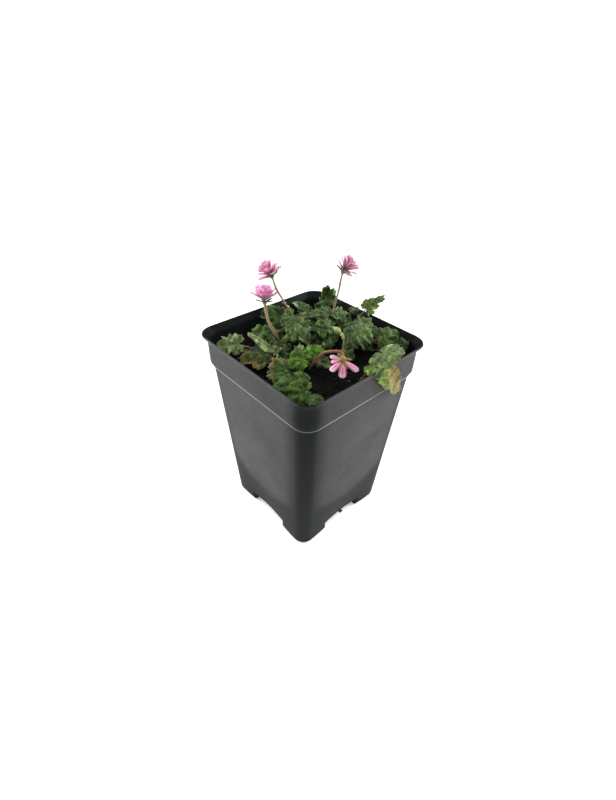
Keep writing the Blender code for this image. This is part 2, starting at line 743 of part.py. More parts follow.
def main():
    """Clear the scene and build every piece."""
    remove(bpy.data.objects)
    parts = hidden_collection("potted_erodium")
    workshop = hidden_collection("workshop")
    build_pot(parts, workshop)
    build_soil(parts, workshop)
    for name, (crown, leaves) in LEAFY_STEMS.items():
        build_leafy_stem(name, crown, leaves, LEAF_GREEN, parts, workshop)
    for name, (crown, leaf, finish) in OTHER_LEAVES.items():
        build_leafy_stem(name, crown, [leaf], finish, parts, workshop, PETIOLE_RADIUS * 1.4)
    for name, (bloom, stalk_finish, petal_finish) in BLOOMS.items():
        build_bloom(name, bloom, stalk_finish, petal_finish, parts, workshop)
    build_bud(parts, workshop)


main()
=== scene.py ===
"""Looks of the potted erodium: a small plant with double pink flowers in a square nursery pot.

Every piece is built in metres, in the frame of the solids: +Z up, origin in the middle of the
pot's base. Places of the plant are written in millimetres, and MM is one millimetre.
"""

from __future__ import annotations

import logging
import math
import random
from collections.abc import Callable
from dataclasses import dataclass, field
from enum import Enum
from functools import partial

import bpy
import numpy as np
from mathutils import Matrix, Vector

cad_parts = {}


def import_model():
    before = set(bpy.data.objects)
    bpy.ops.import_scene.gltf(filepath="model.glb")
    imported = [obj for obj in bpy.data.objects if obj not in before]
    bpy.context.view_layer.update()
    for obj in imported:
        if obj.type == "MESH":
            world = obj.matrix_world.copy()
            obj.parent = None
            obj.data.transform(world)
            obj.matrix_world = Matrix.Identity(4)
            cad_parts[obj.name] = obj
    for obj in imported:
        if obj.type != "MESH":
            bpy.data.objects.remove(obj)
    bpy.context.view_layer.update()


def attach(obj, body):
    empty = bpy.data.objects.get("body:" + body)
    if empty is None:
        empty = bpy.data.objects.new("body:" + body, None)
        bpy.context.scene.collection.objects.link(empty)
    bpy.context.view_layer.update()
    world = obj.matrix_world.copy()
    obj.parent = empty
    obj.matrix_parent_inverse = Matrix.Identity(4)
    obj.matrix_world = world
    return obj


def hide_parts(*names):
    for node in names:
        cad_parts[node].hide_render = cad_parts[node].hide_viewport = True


MM = 0.001
LOG = logging.getLogger("potted_erodium")


def linear(code: str) -> np.ndarray:
    """Linear red, green and blue of an sRGB colour written as "#rrggbb"."""
    share = np.array([int(code[start:start + 2], 16) for start in (1, 3, 5)]) / 255
    return np.where(share <= 0.04045, share / 12.92, ((share + 0.055) / 1.055) ** 2.4)


def feed(node: bpy.types.Node, inputs: dict) -> bpy.types.Node:
    """Set a node's inputs.

    Args:
        node: The node.
        inputs: By input name or number: a value, a socket, or a node whose first output feeds it.

    Returns:
        The same node.
    """
    for name, value in inputs.items():
        if isinstance(value, bpy.types.Node):
            value = value.outputs[0]
        if isinstance(value, bpy.types.NodeSocket):
            node.id_data.links.new(value, node.inputs[name])
        else:
            node.inputs[name].default_value = value
    return node


def add_node(tree: bpy.types.NodeTree, kind: str, inputs: dict | None = None,
             **settings: str | bool) -> bpy.types.Node:
    """Add a node with its settings and what feeds it.

    Args:
        tree: The node tree that gets the node.
        kind: The node's type name.
        inputs: What its inputs get, as feed takes it.
        **settings: Properties of the node.

    Returns:
        The new node.
    """
    node = tree.nodes.new(kind)
    for name, value in settings.items():
        setattr(node, name, value)
    return feed(node, inputs or {})


def blend(low: np.ndarray, high: np.ndarray, share: np.ndarray | float) -> np.ndarray:
    """Mix two colours, or arrays of colours, by a share or an array of shares."""
    share = np.clip(share, 0, 1)[..., None]
    return low * (1 - share) + high * share


def smoothstep(share: np.ndarray) -> np.ndarray:
    """Ease shares from 0 to 1 in and out."""
    share = np.clip(share, 0, 1)
    return share * share * (3 - 2 * share)


def ripple(points: np.ndarray, seed: int, length: float, waves: int = 7) -> np.ndarray:
    """Smooth random relief: a sum of waves in seeded directions.

    Args:
        points: Where the relief is wanted.
        seed: Seed of the directions and phases.
        length: Mean wavelength in metres.
        waves: How many waves are added.

    Returns:
        Its height at the points, from about -1 to 1.
    """
    chance = np.random.default_rng(seed)
    total = np.zeros(points.shape[:-1])
    for _ in range(waves):
        way = chance.normal(size=3)
        way *= 2 * math.pi / (np.linalg.norm(way) * length * chance.uniform(0.6, 1.5))
        total += np.sin(points @ way + chance.uniform(0, 2 * math.pi))
    return total / math.sqrt(waves * 2)


def add_object(name: str, data: bpy.types.ID) -> bpy.types.Object:
    """Put a mesh, light or camera in the scene as a new object."""
    thing = bpy.data.objects.new(name, data)
    bpy.context.scene.collection.objects.link(thing)
    return thing


def add_mesh(name: str, points: np.ndarray, faces: list, finish: Finish | None = None) -> bpy.types.Object:
    """Put a mesh in the scene as a new object.

    Args:
        name: Name of the object.
        points: Its points.
        faces: Its faces, as lists of point numbers.
        finish: Its finish, if it needs one.

    Returns:
        The new object, at the origin.
    """
    mesh = bpy.data.meshes.new(name)
    mesh.from_pydata(points.tolist(), [], faces)
    if finish:
        mesh.materials.append(finish.material)
    return add_object(name, mesh)


def make_plain(thing: bpy.types.Object) -> None:
    """Turn what an object's modifier shows into its plain mesh, and drop the modifier."""
    bpy.context.view_layer.update()
    graph = bpy.context.evaluated_depsgraph_get()
    mesh = bpy.data.meshes.new_from_object(
        thing.evaluated_get(graph), preserve_all_data_layers=True, depsgraph=graph)
    thing.modifiers.clear()
    thing.data = mesh


def grid_faces(rows: int, columns: int) -> tuple[np.ndarray, np.ndarray]:
    """Quads of a grid of points, facing where columns cross rows, and the loop round its border."""
    index = np.arange(rows * columns).reshape(rows, columns)
    quads = np.stack((index[:-1, :-1], index[:-1, 1:], index[1:, 1:], index[1:, :-1]), -1).reshape(-1, 4)
    return quads, np.concatenate([index[0, :-1], index[:-1, -1], index[-1, :0:-1], index[:0:-1, 0]])


def skirt_faces(loop: np.ndarray, below: np.ndarray) -> np.ndarray:
    """Quads from a loop of points down to the loop below it."""
    return np.stack([np.roll(loop, -1), loop, below, np.roll(below, -1)], -1)


def wall_faces(rings: int, sides: int) -> np.ndarray:
    """Quads between rings of points that follow each other, facing outwards."""
    index = np.arange(rings * sides).reshape(rings, sides)
    after = np.roll(index, -1, axis=1)
    return np.stack([index[:-1], after[:-1], after[1:], index[1:]], -1).reshape(-1, 4)


def loft(name: str, rings: list[np.ndarray]) -> bpy.types.Object:
    """Make a closed solid through rings of points, with a flat face at either end."""
    sides = len(rings[0])
    ends = [list(range(sides))[::-1], list(range((len(rings) - 1) * sides, len(rings) * sides))]
    return add_mesh(name, np.concatenate(rings), wall_faces(len(rings), sides).tolist() + ends)


@dataclass
class Body:
    """Points, faces and colours gathered for one mesh."""

    points: list = field(default_factory=list)
    faces: list = field(default_factory=list)
    colours: list = field(default_factory=list)
    total: int = 0

    def add(self, points: np.ndarray, faces: list[np.ndarray], colours: np.ndarray) -> None:
        """Add a closed shell.

        Args:
            points: Its points.
            faces: Arrays of its faces.
            colours: A colour for each point.
        """
        for block in faces:
            self.faces.extend((block + self.total).tolist())
        self.points.append(points)
        self.colours.append(colours)
        self.total += len(points)

    def sheet(self, grid: np.ndarray, half: np.ndarray, over: np.ndarray, under: np.ndarray,
              turned: bool = True) -> None:
        """Add a sheet that is closed round its border.

        Args:
            grid: Its middle surface, rows by columns by 3.
            half: Half its thickness at each point.
            over: Colours of its upper face.
            under: Colours of its lower face.
            turned: Whether rows cross columns on its upper face, and not the other way.
        """
        if turned:
            grid, half, over, under = (part[:, ::-1] for part in (grid, half, over, under))
        down, across = np.gradient(grid, axis=(0, 1))
        normal = np.cross(across, down)
        normal /= np.maximum(np.linalg.norm(normal, axis=-1, keepdims=True), 1e-12)
        shift = normal * half[..., None]
        quads, loop = grid_faces(*half.shape)
        points = np.concatenate([(grid + shift).reshape(-1, 3), (grid - shift).reshape(-1, 3)])
        self.add(points, [quads, quads[:, ::-1] + half.size, skirt_faces(loop, loop + half.size)],
                 np.concatenate([over.reshape(-1, 3), under.reshape(-1, 3)]))

    def tube(self, route: np.ndarray, radii: np.ndarray, colours: np.ndarray, sides: int = 10,
             rib: float = 0.0) -> None:
        """Add a closed tube.

        Args:
            route: Points of its centreline.
            radii: Its radius at each of them.
            colours: Its colour, or a colour at each of them.
            sides: How many faces go round it.
            rib: Height of the ribs along it, as a share of its radius.
        """
        along = np.gradient(route, axis=0)
        along /= np.linalg.norm(along, axis=1, keepdims=True)
        side = np.cross(along[0], (0.31, 0.17, 0.93))
        first = np.arange(sides)
        angles = first * 2 * math.pi / sides
        ribs = 1 + rib * np.cos(first * math.pi / 2)
        rings = []
        for place, way, radius in zip(route, along, radii):
            side = side - way * (side @ way)
            side = side / np.linalg.norm(side)
            turn = np.outer(np.cos(angles), side) + np.outer(np.sin(angles), np.cross(way, side))
            rings.append(place + turn * (radius * ribs)[:, None])
        count = len(route) * sides
        last = first + count - sides
        start = np.stack([np.roll(first, -1), first, np.full(sides, count)], -1)
        end = np.stack([last, np.roll(last, -1), np.full(sides, count + 1)], -1)
        shades = np.broadcast_to(colours, (len(route), 3))
        ribbed = np.repeat(shades, sides, axis=0) * np.tile(ribs ** 4, len(route))[:, None]
        self.add(np.concatenate([*rings, route[:1], route[-1:]]), [wall_faces(len(route), sides), start, end],
                 np.concatenate([ribbed, shades[:1], shades[-1:]]))

    def mesh_object(self, name: str, finish: Finish, hair: Scatter | None = None) -> bpy.types.Object:
        """Make the object, smooth shaded, with its colours in the attribute tint.

        Args:
            name: Name of the object.
            finish: Its finish.

        Returns:
            The new object.
        """
        piece = add_mesh(name, np.concatenate(self.points), self.faces, finish)
        tint = piece.data.attributes.new("tint", "FLOAT_COLOR", "POINT")
        four = np.ones((self.total, 4), np.float32)
        four[:, :3] = np.concatenate(self.colours)
        tint.data.foreach_set("color", four.ravel())
        piece.data.shade_smooth()
        if hair:
            hair.grow_on(piece, Finish.HAIR)
        return piece


def bend(start: np.ndarray, turn: np.ndarray, end: np.ndarray, steps: int) -> np.ndarray:
    """Points along an arc from start to end that leans towards a turning point."""
    share = np.linspace(0, 1, steps + 1)[:, None]
    return start * (1 - share) ** 2 + turn * 2 * share * (1 - share) + end * share ** 2


def smooth_route(route: tuple, steps: int = 8) -> np.ndarray:
    """Points straight to a route's second place, then on a smooth curve through the rest.

    Args:
        route: Places in millimetres.
        steps: How many points each stretch gets.

    Returns:
        The points, in metres.
    """
    places = np.array(route, float) * MM
    points = [places[0] + (places[1] - places[0]) * step / steps for step in range(steps)]
    ends = [*places, places[-1] * 2 - places[-2]]
    for a, b, c, d in zip(ends, ends[1:], ends[2:], ends[3:]):
        for step in range(steps):
            t = step / steps
            points.append(0.5 * (2 * b + (c - a) * t + (2 * a - 5 * b + 4 * c - d) * t ** 2
                                 + (3 * b - a - 3 * c + d) * t ** 3))
    return np.array([*points, places[-1]])


class Tone(Enum):
    """Leaf colours that the plant shows: blade, vein and margin. The margin colour is partly a painted
    highlight of the margin hairs, and the darkest tone is painted shade for low leaves lying under the
    others.
    """

    PALE = ("#556839", "#7c8d58", "#93a26b")
    SAGE = ("#4d6336", "#71854c", "#8e9d66")
    MID = ("#364e20", "#567036", "#71864a")
    GREEN = ("#37501a", "#5e7830", "#75903c")
    BRIGHT = ("#42650f", "#688a22", "#809b35")
    # Painted shade: the blade colour of low leaves lying under the others, darkened for the shade that falls
    # on them.
    DARK = ("#293a16", "#40521f", "#52642e")
    OLIVE = ("#34431d", "#848c55", "#6f7340")
    FRESH = ("#5f7735", "#86a150", "#97ad62")
    SILVER = ("#6a7b4a", "#8d9b69", "#9dab78")


PALE, SAGE, MID, GREEN, BRIGHT, DARK, OLIVE, FRESH, SILVER = Tone


class Blush(Enum):
    """Discoloured margins: colour, middle and spread round the blade, and depth inwards."""

    NONE = ("#000000", 0.0, 0.001, 0.0)
    TIP_ORANGE = ("#84612f", 0.1, 0.2, 0.34)
    LEFT_PINK = ("#8d664c", -0.2, 0.42, 0.4)
    DRY_EDGE = ("#b08a58", 0.36, 0.22, 0.09)
    RUST_SPOT = ("#98622a", 0.1, 0.3, 0.6)
    HALF_YELLOW = ("#73632a", 0.5, 0.42, 0.95)


@dataclass
class Leaf:
    """One blade on its stalk, with the same sizes as its solid. Millimetres and degrees."""

    base: tuple
    tip: tuple
    width: float
    tone: Tone
    lobes: int = 7
    faces: tuple = (-44, 60)
    notch: float = 0.22
    back: float = 0.35
    fold: float = 0.15
    droop: float = 0.1
    wave: float = 0.05
    sweep: float = 150
    lean: float = 0.0
    drapes: bool = False
    blush: Blush = Blush.NONE
    rough: float = 1.0
    lobed: float = 1.0
    stalk: float = 1.0

    def frame(self) -> tuple[np.ndarray, float, np.ndarray, np.ndarray, np.ndarray]:
        """Base, length and the directions along, across and out of the blade."""
        base = np.array(self.base, float) * MM
        along = np.array(self.tip, float) * MM - base
        length = float(np.linalg.norm(along))
        along /= length
        azimuth, height = (math.radians(angle) for angle in self.faces)
        level = math.cos(height)
        look = np.array((math.cos(azimuth) * level, math.sin(azimuth) * level, math.sin(height)))
        out = look - along * (look @ along)
        out /= np.linalg.norm(out)
        return base, length, along, np.cross(out, along), out


def drape(grid: np.ndarray, level: float, edge: float = 45.6 * MM, radius: float = 1.2 * MM) -> np.ndarray:
    """Bend what lies beyond the pot's rim down over it, as its solid is bent.

    Args:
        grid: Points of a level sheet.
        level: Height of the sheet.
        edge: Where the bend starts.
        radius: Radius of the bend.

    Returns:
        The bent points.
    """
    beyond = np.maximum(0.0, grid[..., 0] - edge)
    quarter = radius * math.pi / 2
    angle = np.minimum(beyond, quarter) / radius
    reach = radius + grid[..., 2] - level
    bent = grid.copy()
    bent[..., 0] = np.minimum(grid[..., 0], edge) + reach * np.sin(angle)
    bent[..., 2] = level - radius + reach * np.cos(angle) - np.maximum(0.0, beyond - quarter)
    return bent


@dataclass
class Blade:
    """The fine blade of a leaf: crenate margin, sunken veins, quilted surface."""

    leaf: Leaf
    seed: int
    spacing: float = 0.48 * MM
    thickness: float = 0.5 * MM
    vein_width: float = 0.34 * MM
    vein_depth: float = 0.24 * MM
    net_pitch: float = 1.7 * MM
    net_depth: float = 0.17 * MM
    crumple: float = 0.45 * MM

    def outline(self, turn: np.ndarray) -> np.ndarray:
        """Distance from the stalk's end to the margin.

        Args:
            turn: Places round the blade, from -1 to 1.

        Returns:
            The distances, with lobes, and teeth on each lobe.
        """
        leaf = self.leaf
        length = leaf.frame()[1]
        chance = np.random.default_rng(self.seed)
        angle = turn * math.radians(leaf.sweep)
        reach = np.where(np.cos(angle) > 0, length, length * leaf.back)
        half = leaf.width * MM / 2 * (1 + leaf.lean * -np.sign(angle))
        round_off = np.abs(np.cos(angle) / reach) ** 2.3 + np.abs(np.sin(angle) / half) ** 2.3
        phase = (turn + 1) * leaf.lobes * math.pi
        depth = chance.uniform(0.6, 1.15, leaf.lobes + 1)
        size = chance.uniform(0.93, 1.07, leaf.lobes)
        lobe = np.clip((phase / (2 * math.pi)).astype(int), 0, leaf.lobes - 1)
        cut = 1.15 * leaf.lobed * leaf.notch * (1 - np.abs(np.sin(phase / 2)) ** 0.7)
        cut = cut * depth[np.round(phase / (2 * math.pi)).astype(int)]
        teeth = 0.11 * leaf.rough * (1 - np.abs(np.sin(1.5 * phase)) ** 0.8)
        swell = 1 + (size[lobe] - 1) * (0.5 - 0.5 * np.cos(phase))
        return round_off ** (-1 / 2.3) * (1 - cut) * (1 - teeth) * swell

    def veins(self, x: np.ndarray, y: np.ndarray) -> tuple[np.ndarray, np.ndarray]:
        """Nearest main vein of places on the flat blade.

        Args:
            x: Places along the blade.
            y: Places across it.

        Returns:
            The distance to the vein, and how far along it the nearest point is.
        """
        leaf = self.leaf
        best, place = np.full(x.shape, 1.0), np.zeros(x.shape)
        for number in range(leaf.lobes):
            turn = (number + 0.5) / leaf.lobes * 2 - 1
            angle = turn * math.radians(leaf.sweep)
            reach = float(self.outline(np.array([turn]))[0])
            start = max(0.0, math.cos(angle)) ** 1.5 * 0.4 * reach * (abs(angle) > 0.1)
            way = np.array([math.cos(angle) * reach - start, math.sin(angle) * reach])
            size = np.linalg.norm(way)
            way /= size
            along = np.clip((x - start) * way[0] + y * way[1], 0, size)
            apart = np.hypot(x - start - along * way[0], y - along * way[1])
            place = np.where(apart < best, along + start, place)
            best = np.minimum(best, apart)
        return best, place

    def add_to(self, body: Body) -> None:
        """Add the blade to a body."""
        leaf = self.leaf
        base, length, along, across, out = leaf.frame()
        chance = np.random.default_rng(self.seed + 5)
        girth = 3.4 * max(length, leaf.width * MM / 2) * 1.3
        around = leaf.lobes * 6 * max(2, round(girth / self.spacing / leaf.lobes / 6)) + 1
        rings = max(12, int(length / self.spacing / 1.5))
        outwards = np.linspace(0, 1, rings) ** 0.85 * 0.97 + 0.03
        share, turn = np.meshgrid(outwards, np.linspace(-1, 1, around), indexing="ij")
        angle = turn * math.radians(leaf.sweep)
        phase = (turn + 1) * leaf.lobes * math.pi
        radius = share * self.outline(turn)
        x, y = radius * np.cos(angle), radius * np.sin(angle)
        flat = np.stack([x, y, np.zeros_like(x)], -1)
        apart, place = self.veins(x, y)
        inner = np.clip(radius / (2.5 * MM), 0, 1)
        vein = np.exp(-(apart / self.vein_width) ** 2)
        net = (0.5 + 0.5 * np.cos(2 * math.pi * (place - 0.9 * apart) / self.net_pitch)) ** 2
        net = net * (1 - vein) * inner
        slow, quick = ripple(flat, self.seed, 6 * MM), ripple(flat, self.seed + 1, 2.3 * MM)
        twist, roll = chance.uniform(-0.18, 0.18) * min(1.0, leaf.width / 14), chance.uniform(0, 0.14)
        height = (leaf.fold - roll) * np.abs(y) - leaf.droop * x * np.abs(x) / length + twist * x * y / length
        height = height + (leaf.wave + 0.03) * length * share * np.cos(phase)
        quilt = 1 - np.exp(-(apart / (1.0 * MM)) ** 2)
        relief = self.net_depth * (quilt - net) * inner - self.vein_depth * vein
        crumple = self.crumple * (2.6 * slow * share + 0.8 * quick * inner)
        first, second = chance.uniform(0, 6, 2)
        ruffle = np.sin(1.5 * phase + first) * 0.6 + 0.35 * np.sin(3 * phase + second)
        margin = MM * (1.2 * share ** 4 * ruffle - 0.7 * share ** 6)
        height = height + leaf.rough * (relief + crumple + margin)
        grid = base + along * x[..., None] + across * y[..., None] + out * height[..., None]
        if leaf.drapes:
            grid = drape(grid, base[2])
        # Painted light and shade: lighter on the crests of the crumpled folds, darker in their hollows and in
        # the clefts between the lobes.
        painted_cleft_shade = 0.35 * (0.5 + 0.5 * np.cos(phase)) ** 3
        painted_fold_light = np.clip(1.1 * slow * share + 0.5 * quick * inner - painted_cleft_shade, -1.2, 1)
        over = self.colours(flat, share, turn, vein, net, painted_fold_light)
        thin = self.thickness / 2 * (1 - 0.6 * share ** 2)
        body.sheet(grid, thin, over, blend(over, linear("#5d6e46"), 0.35))

    def colours(self, flat: np.ndarray, share: np.ndarray, turn: np.ndarray, vein: np.ndarray,
                net: np.ndarray, painted_fold_light: np.ndarray) -> np.ndarray:
        """Colours of the upper face.

        Args:
            flat: Places on the flat blade.
            share: Distance from the stalk, 1 at the margin.
            turn: Place round the blade, from -1 to 1.
            vein: Strength of the main veins.
            net: Strength of the side veins.
            painted_fold_light: Painted light and shade by height in the folds: lighter on the crests, darker
                in the hollows and in the clefts between the lobes.

        Returns:
            Linear colours.
        """
        blush = self.leaf.blush
        main, ribs, rim = map(linear, self.leaf.tone.value)
        patch, spots = ripple(flat, self.seed + 2, 6 * MM), ripple(flat, self.seed + 3, 2.2 * MM)
        # The painted light and shade of the folds scales the blade colour, together with its own uneven
        # patches and spots.
        bright = np.exp(0.95 * painted_fold_light) * (1.1 + 0.25 * patch + 0.2 * spots - 0.2 * net)
        colour = main * np.clip(bright, 0.25, 2.6)[..., None]
        colour = blend(colour, ribs, 0.3 * vein * (1.05 - 0.7 * share))
        # The pale margin colour: partly the hairy margin's own paleness, partly a painted highlight where its
        # hairs catch the light.
        edge = np.clip((share - 0.9) / 0.1, 0, 1) ** 2 * np.clip(0.5 + 0.7 * spots, 0, 1)
        colour = blend(colour, rim, 0.45 * edge)
        code, place, spread, depth = blush.value
        stain = linear(code) * (1 + 0.25 * spots)[..., None]
        if blush is Blush.HALF_YELLOW:
            yellow = np.clip((turn + 0.22 + 0.07 * spots) / 0.16, 0, 1) * np.clip(share * 3, 0, 1)
            brown = np.clip((share - 0.75 + 0.1 * spots) / 0.2, 0, 1)
            brown = brown * np.clip(1 - (turn - 0.12) ** 2 / 0.04, 0, 1)
            colour = blend(colour, stain, 0.92 * yellow)
            colour = blend(colour, linear("#7d5424") * (1 + 0.3 * spots)[..., None], 0.8 * brown)
        elif blush is not Blush.NONE:
            near = np.exp(-((turn - place) / spread) ** 2) * np.clip((share - 1 + depth) / depth, 0, 1)
            colour = blend(colour, stain, near * (0.8 + 0.4 * patch))
        return np.clip(colour, 0.002, 1)


class ScatterKind(Enum):
    """What a scatter tree sets on each point."""

    HAIR = "hair"
    GRAIN = "grain"


@dataclass
class Scatter:
    """Small repeats scattered over a mesh by Geometry Nodes: hairs, or grains of peat.

    Attributes:
        kind: What stands on each point. Hairs are added to the mesh, and grains replace it.
        density: Repeats for each square metre.
        size: Length of a hair, or size of a grain.
        shape: Proportions of one repeat.
        spread: Share by which sizes vary.
        tumble: How far each repeat leans, in radians.
        seed: Seed of places, sizes and turns.
    """

    kind: ScatterKind
    density: float
    size: float
    shape: tuple
    spread: float
    tumble: float
    seed: int

    def tree(self) -> bpy.types.NodeTree:
        """Build the node tree, with named inputs for its sizes."""
        tree = bpy.data.node_groups.new(f"scatter {self.kind.value}", "GeometryNodeTree")
        add = partial(add_node, tree)
        kinds = {"Mesh": "Geometry", "Density": "Float", "Smallest": "Float", "Largest": "Float",
                 "Tumble": "Float", "Shape": "Vector", "Seed": "Int", "Material": "Material"}
        for name, kind in kinds.items():
            tree.interface.new_socket(name, in_out="INPUT", socket_type=f"NodeSocket{kind}")
        tree.interface.new_socket("Mesh", in_out="OUTPUT", socket_type="NodeSocketGeometry")
        given = add("NodeGroupInput").outputs
        seed, tumble = given["Seed"], given["Tumble"]
        places = add("GeometryNodeDistributePointsOnFaces",
                     {"Mesh": given["Mesh"], "Density": given["Density"], "Seed": seed})
        if self.kind is ScatterKind.HAIR:
            shape = add("GeometryNodeMeshCone", {"Vertices": 3, "Radius Top": 0.12, "Radius Bottom": 1.0,
                                                 "Depth": 1.0}, fill_type="NGON")
        else:
            noise = add("ShaderNodeTexNoise", {"Vector": add("GeometryNodeInputPosition"), "Scale": 1.3})
            centred = add("ShaderNodeVectorMath", {0: noise.outputs["Color"], 1: (0.5, 0.5, 0.5)},
                          operation="SUBTRACT")
            push = add("ShaderNodeVectorMath", {0: centred, "Scale": 1.6}, operation="SCALE")
            ball = add("GeometryNodeMeshIcoSphere", {"Radius": 1.0, "Subdivisions": 1})
            shape = add("GeometryNodeSetPosition", {"Geometry": ball, "Offset": push})
        size = add("FunctionNodeRandomValue", {2: given["Smallest"], 3: given["Largest"], "Seed": seed})
        scale = add("ShaderNodeVectorMath", {0: given["Shape"], "Scale": size.outputs[1]}, operation="SCALE")
        low = add("ShaderNodeMath", {0: tumble, 1: -1.0}, operation="MULTIPLY")
        least = add("ShaderNodeCombineXYZ", {"X": low, "Y": low})
        most = add("ShaderNodeCombineXYZ", {"X": tumble, "Y": tumble, "Z": 6.28})
        lean = add("FunctionNodeRandomValue", {0: least, 1: most, "Seed": seed}, data_type="FLOAT_VECTOR")
        turn = add("FunctionNodeEulerToRotation", {0: lean})
        facing = add("FunctionNodeRotateRotation", {0: places.outputs["Rotation"], 1: turn},
                     rotation_space="LOCAL")
        repeats = add("GeometryNodeInstanceOnPoints",
                      {"Points": places, "Instance": shape, "Rotation": facing, "Scale": scale})
        real = add("GeometryNodeSetShadeSmooth", {0: add("GeometryNodeRealizeInstances", {0: repeats})})
        result = add("GeometryNodeSetMaterial", {"Geometry": real, "Material": given["Material"]})
        if self.kind is ScatterKind.HAIR:
            result = feed(add("GeometryNodeJoinGeometry", {0: result}), {0: given["Mesh"]})
        add("NodeGroupOutput", {0: result})
        return tree

    def grow_on(self, thing: bpy.types.Object, finish: Finish) -> None:
        """Scatter the repeats over an object and keep the result as its plain mesh.

        Args:
            thing: The object, whose mesh is replaced by the result.
            finish: Finish of the repeats.
        """
        tree = self.tree()
        step = thing.modifiers.new("scatter", "NODES")
        step.node_group = tree
        sockets = {item.name: item.identifier for item in tree.interface.items_tree if item.in_out == "INPUT"}
        values = {"Density": self.density, "Smallest": self.size * (1 - self.spread),
                  "Largest": self.size * (1 + self.spread), "Tumble": self.tumble,
                  "Shape": self.shape, "Seed": self.seed, "Material": finish.material}
        for name, value in values.items():
            step[sockets[name]] = value
        make_plain(thing)
        bpy.data.node_groups.remove(tree)


@dataclass(frozen=True)
class Surface:
    """A real material, whose kinds work out the shader's inputs."""

    name: str

    def inputs(self, add: Callable[..., bpy.types.Node]) -> dict:
        """Inputs of the shader, from nodes that are added by a function."""
        raise NotImplementedError

    def material(self) -> bpy.types.Material:
        """Build the material."""
        made = bpy.data.materials.new(self.name)
        made.use_nodes = True
        tree = made.node_tree
        feed(tree.nodes["Principled BSDF"], self.inputs(partial(add_node, tree)))
        return made


@dataclass(frozen=True)
class Skin(Surface):
    """A soft plant surface whose colour comes from the attribute tint.

    Attributes:
        roughness: How matt it is.
        sheen: Strength of the pale bloom that fine hairs give at a slant.
        grain: Size of the fine wrinkles, in metres.
        depth: Height of the fine wrinkles, in metres.
        mottle: Share by which the colour varies from spot to spot.
        glow: Light that comes through the thin tissue.
    """

    roughness: float
    sheen: float
    grain: float
    depth: float
    mottle: float
    glow: float = 0.0

    def inputs(self, add: Callable[..., bpy.types.Node]) -> dict:
        """Inputs of the shader, from nodes that are added by a function."""
        place = add("ShaderNodeTexCoord").outputs["Object"]
        spots = add("ShaderNodeTexNoise", {"Vector": place, "Scale": 1 / (4 * self.grain), "Detail": 3.0})
        bright = add("ShaderNodeMapRange", {"Value": spots, "To Min": 1 - self.mottle,
                                            "To Max": 1 + self.mottle})
        tint = add("ShaderNodeAttribute", attribute_name="tint")
        fine = add("ShaderNodeTexNoise", {"Vector": place, "Scale": 1 / self.grain, "Detail": 2.0})
        return {
            "Base Color": add("ShaderNodeVectorMath", {0: tint, "Scale": bright}, operation="SCALE"),
            "Normal": add("ShaderNodeBump", {"Strength": 0.8, "Distance": self.depth, "Height": fine}),
            "Roughness": self.roughness, "IOR": 1.42, "Specular IOR Level": 0.22,
            "Sheen Weight": self.sheen, "Sheen Roughness": 0.45, "Subsurface Weight": self.glow,
            "Subsurface Radius": (1.0, 0.5, 0.6), "Subsurface Scale": 0.7 * MM,
        }


@dataclass(frozen=True)
class HairSkin(Surface):
    """Short translucent plant hairs: pale and soft, they frost edges and stalks."""

    colour: str

    def inputs(self, add: Callable[..., bpy.types.Node]) -> dict:
        """Inputs of the shader, which need no nodes."""
        return {"Base Color": (*linear(self.colour), 1), "Roughness": 0.55, "Sheen Weight": 0.4}


